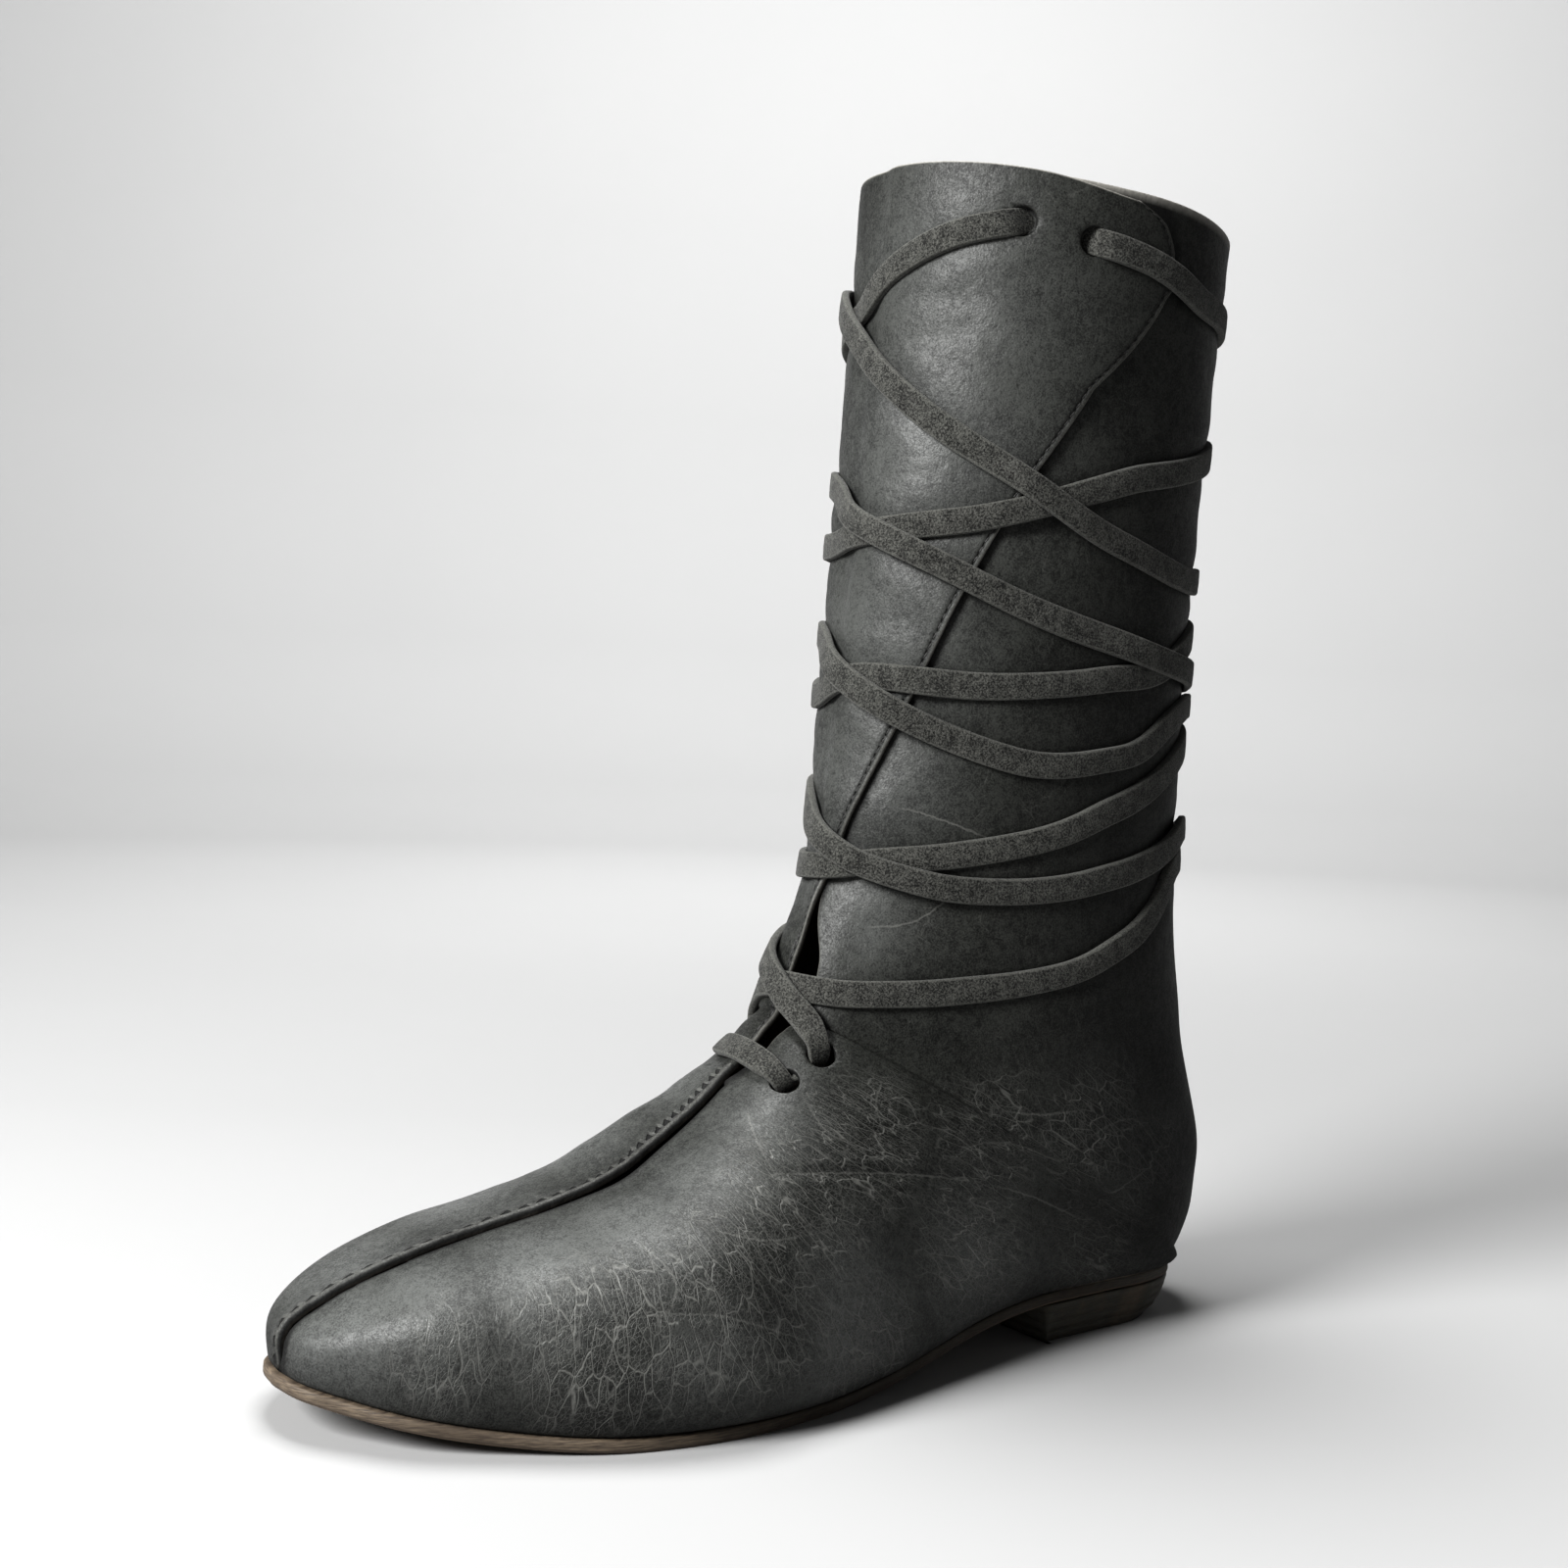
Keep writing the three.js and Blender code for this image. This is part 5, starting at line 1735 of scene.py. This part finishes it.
def heel_material(name, settings):
    """Stacked leather, stained dark brown, with the lifts showing and worn in patches."""
    material, shader, principled = new_material(name)
    dark, light = settings.heel_dark, settings.heel_light
    fibre, patch, colour = layered(shader, (5.0, 70.0), 60.0, dark, light)
    colour = shader.blend(shader.remap(patch, 0.5, 0.75, 0.0, 0.5), colour, (0.11, 0.08, 0.055))
    rough = shader.remap(patch, 0.3, 0.7, 0.5, 0.75)
    shader.fill(principled, {"Base Color": colour, "Roughness": rough})
    bump(shader, principled, [(fibre, 0.6, 0.35), (patch, 0.3, 0.3)])
    return material


def insole_material(name):
    material, shader, principled = new_material(name)
    solid = shader.solid()
    grain = shader.group("leather grain", {"Place": solid, "Pebble": 700.0, "Patch": 30.0})
    rubbed = shader.group("dust and rub", {"Place": solid, "Size": 45.0, "Amount": 0.6})["Mask"]
    colour = shader.blend(grain["Mottle"], (0.13, 0.09, 0.055), (0.24, 0.17, 0.11))
    colour = shader.blend(shader.times(rubbed, 0.5), colour, (0.07, 0.05, 0.035))
    rough = shader.remap(grain["Mottle"], 0, 1, 0.75, 0.6)
    shader.fill(principled, {"Base Color": colour, "Roughness": rough})
    bump(shader, principled, [(grain["Height"], 0.4, 0.2)])
    return material


def floor_material(name, settings):
    material, shader, principled = new_material(name)
    tone = shader.noise(shader.solid(), 3.0, 3.0)
    light = settings.floor_colour
    colour = shader.blend(tone, light, [0.97 * part for part in light])
    shader.fill(principled, {"Base Color": colour, "Roughness": 0.9})
    return material


def finish_piece(piece, material, slot, *nodes):
    """Gives a piece its material, its place on the frame and the nodes it stands for."""
    piece.data.materials.clear()
    piece.data.materials.append(material)
    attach(piece, "root")
    if nodes:
        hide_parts(*nodes)


# The stage, in metres. The camera was fitted to the photo.
CAMERA_PLACE = (0.48989, -0.44358, 0.18621)
CAMERA_TURN = math.radians(55.83)
CAMERA_DROP = math.radians(2.39)
CAMERA_ROLL = math.radians(2.14)
PHOTO_SIZE = 1600
FOCAL_PIXELS = 2148.6
SENSOR = 36
BOWL_PROFILE = [
    (0.0, 0.0), (0.6, 0.0), (1.4, 0.0), (1.9, 0.0), (2.2, 0.06), (2.45, 0.25), (2.58, 0.6),
    (2.6, 0.9), (2.6, 1.4),
]
BOWL_SIDES = 96
PICTURE_GAMMA = 0.86
BOOT_MIDDLE = (0, -0.08, 0.16)
# Each light's place, target, size in metres and share of the key light's power.
LIGHTS = [
    ("key", (0.16, -1.52, 0.95), BOOT_MIDDLE, 0.7, 1),
    ("top", (-0.25, -0.05, 1.6), BOOT_MIDDLE, 0.7, 0.45),
    ("backdrop", (-0.9, 0.6, 1.5), (-2.4, 1.6, 0.5), 0.8, 0.75),
]


def add_camera():
    a, e = CAMERA_TURN, CAMERA_DROP
    back = Vector((math.sin(a) * math.cos(e), -math.cos(a) * math.cos(e), math.sin(e)))
    right = Vector((math.cos(a), math.sin(a), 0))
    up = back.cross(right)
    c, s = math.cos(CAMERA_ROLL), math.sin(CAMERA_ROLL)
    axes = Matrix((c * right + s * up, -s * right + c * up, back)).transposed()
    data = bpy.data.cameras.new("camera")
    data.sensor_width = SENSOR
    data.lens = FOCAL_PIXELS / PHOTO_SIZE * SENSOR
    data.clip_start = 0.01
    camera = bpy.data.objects.new("camera", data)
    camera.matrix_world = Matrix.Translation(CAMERA_PLACE) @ axes.to_4x4()
    bpy.context.scene.collection.objects.link(camera)
    bpy.context.scene.camera = camera


def add_floor(settings):
    """A wide pale floor that curves up all round, with no edge in any view."""
    points = [(0, 0, 0)]
    for radius, height in BOWL_PROFILE[1:]:
        for k in range(BOWL_SIDES):
            turn = 2 * math.pi * k / BOWL_SIDES
            points.append((radius / MM * math.cos(turn), radius / MM * math.sin(turn), height / MM))
    faces = [[0, 1 + k, 1 + (k + 1) % BOWL_SIDES] for k in range(BOWL_SIDES)]
    faces += ring_quads(len(BOWL_PROFILE) - 1, BOWL_SIDES, start=1, flip=True)
    floor = write_object("studio_floor", points, faces)
    floor.data.materials.append(floor_material("studio_floor", settings))


def add_light(name, place, target, size, power):
    data = bpy.data.lights.new(name, "AREA")
    data.shape = "DISK"
    data.size = size
    data.energy = power
    light = bpy.data.objects.new(name, data)
    light.location = place
    light.rotation_euler = (Vector(target) - Vector(place)).to_track_quat("-Z", "Y").to_euler()
    bpy.context.scene.collection.objects.link(light)


# What a user would change.


def colour_property(name, description, default):
    return bpy.props.FloatVectorProperty(
        name=name, description=description, subtype="COLOR", size=3, min=0, max=1, default=default
    )


class BootLeatherSettings(bpy.types.PropertyGroup):
    """Colours of the upper."""

    leather_dark: colour_property("Dark", "Darker mottled tone", (0.0030, 0.0031, 0.0026))
    leather_light: colour_property("Light", "Lighter mottled tone", (0.0275, 0.0286, 0.0255))
    # The painted sheen's tone, laid where the light falls.
    leather_painted_sheen: colour_property("Painted sheen", "Tone where it is rubbed", (0.130, 0.134, 0.130))
    crack_colour: colour_property("Cracks", "Tone of the cracked lines", (0.18, 0.18, 0.168))


class BootLaceSettings(bpy.types.PropertyGroup):
    """Colours of the lace."""

    lace_dark: colour_property("Dark", "Darker flecks of the suede", (0.003, 0.003, 0.0026))
    lace_light: colour_property("Light", "Lighter flecks of the suede", (0.088, 0.0885, 0.080))


class BootSoleSettings(bpy.types.PropertyGroup):
    """Colours of sole and heel."""

    sole_dark: colour_property("Sole dark", "Darker fibre of the edge", (0.034, 0.023, 0.015))
    sole_light: colour_property("Sole light", "Lighter fibre of the edge", (0.140, 0.108, 0.074))
    heel_dark: colour_property("Heel dark", "Darker layer of the heel", (0.0095, 0.0080, 0.0040))
    heel_light: colour_property("Heel light", "Lighter layer of the heel", (0.032, 0.028, 0.0150))


class BootStudioSettings(bpy.types.PropertyGroup):
    """Floor and light."""

    floor_colour: colour_property("Floor", "Colour of the floor", (0.34, 0.34, 0.34))
    key_power: bpy.props.FloatProperty(
        name="Key light", description="Power of the main light", subtype="POWER", min=0, default=74
    )
    sky: bpy.props.FloatProperty(
        name="Sky", description="Strength of the soft light all round", min=0, default=0.07
    )


class BootOperator:
    """What the boot's operators share: they fail loudly when no piece was made."""

    bl_options = {"REGISTER", "UNDO"}

    def settle(self, made):
        if not all(len(piece.data.polygons) for piece in made):
            raise RuntimeError(f"{self.bl_label}: a piece came out empty")
        return {"FINISHED"}


class BOOT_OT_upper(BootOperator, bpy.types.Operator):
    """Makes the two leather panels of the upper, with folds, lapped seam and lace holes"""

    bl_idname = "boot.upper"
    bl_label = "Upper panels"

    def execute(self, context):
        material = leather_material("upper_leather", context.scene.boot_leather)
        near = make_panel("near", "upper_near_panel")
        far = make_panel("far", "upper_far_panel")
        finish_piece(near, material, "upper_leather", "upper")
        finish_piece(far, material, "upper_leather", "upper")
        return self.settle([near, far])


class BOOT_OT_stitching(BootOperator, bpy.types.Operator):
    """Makes the stitches of the vamp seam, the flap's edge and the back seam"""

    bl_idname = "boot.stitching"
    bl_label = "Stitching"

    def execute(self, context):
        piece = make_stitches("stitching")
        finish_piece(piece, thread_material("waxed_thread"), "upper_leather")
        return self.settle([piece])


class BOOT_OT_lace(BootOperator, bpy.types.Operator):
    """Makes the flat lace, wound round the shaft and run through its holes"""

    bl_idname = "boot.lace"
    bl_label = "Lace"

    def execute(self, context):
        piece = make_lace("lace")
        material = suede_material("lace_suede", context.scene.boot_lace)
        finish_piece(piece, material, "lace_suede", "lace_wraps", "lace_bar")
        return self.settle([piece])


class BOOT_OT_sole(BootOperator, bpy.types.Operator):
    """Makes the leather sole and stacked heel, and finishes the insole"""

    bl_idname = "boot.sole"
    bl_label = "Sole and heel"

    def execute(self, context):
        settings = context.scene.boot_sole
        sole = make_outsole("leather_sole")
        heel = make_heel("stacked_heel")
        finish_piece(sole, sole_material("sole_leather", settings), "sole_leather", "outsole")
        finish_piece(heel, heel_material("heel_stack", settings), "heel_stack", "heel")
        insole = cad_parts["insole"]
        insole.data.materials.clear()
        insole.data.materials.append(insole_material("insole_leather"))
        return self.settle([sole, heel])


class BOOT_OT_studio(BootOperator, bpy.types.Operator):
    """Sets the camera, a pale floor and soft studio light"""

    bl_idname = "boot.studio"
    bl_label = "Studio"

    def execute(self, context):
        settings = context.scene.boot_studio
        add_camera()
        add_floor(settings)
        for name, place, target, size, share in LIGHTS:
            add_light(name, place, target, size, share * settings.key_power)
        world = bpy.data.worlds.new("soft_sky")
        world.use_nodes = True
        background = world.node_tree.nodes["Background"]
        background.inputs["Color"].default_value = (1, 1, 1, 1)
        background.inputs["Strength"].default_value = settings.sky
        context.scene.world = world
        context.scene.view_settings.view_transform = "Standard"
        context.scene.view_settings.gamma = PICTURE_GAMMA
        return {"FINISHED"}


class BOOT_PT_panel(bpy.types.Panel):
    """Lists the boot's pieces and their settings"""

    bl_idname = "BOOT_PT_panel"
    bl_label = "Boot"
    bl_space_type = "VIEW_3D"
    bl_region_type = "UI"
    bl_category = "Boot"

    def draw(self, context):
        for operator in OPERATORS:
            self.layout.operator(operator.bl_idname)
        for name, settings in SETTINGS.items():
            box = self.layout.box()
            group = getattr(context.scene, name)
            for key in settings.__annotations__:
                box.prop(group, key)


OPERATORS = (BOOT_OT_upper, BOOT_OT_stitching, BOOT_OT_lace, BOOT_OT_sole, BOOT_OT_studio)
SETTINGS = {
    "boot_leather": BootLeatherSettings,
    "boot_lace": BootLaceSettings,
    "boot_sole": BootSoleSettings,
    "boot_studio": BootStudioSettings,
}


def register():
    for kind in (*SETTINGS.values(), *OPERATORS, BOOT_PT_panel):
        bpy.utils.register_class(kind)
    for name, kind in SETTINGS.items():
        setattr(bpy.types.Scene, name, bpy.props.PointerProperty(type=kind))


def unregister():
    for name in SETTINGS:
        delattr(bpy.types.Scene, name)
    for kind in (BOOT_PT_panel, *OPERATORS[::-1], *list(SETTINGS.values())[::-1]):
        bpy.utils.unregister_class(kind)


def main():
    register()
    bpy.ops.boot.upper()
    bpy.ops.boot.stitching()
    bpy.ops.boot.lace()
    bpy.ops.boot.sole()
    bpy.ops.boot.studio()


if __name__ == "__main__":
    main()
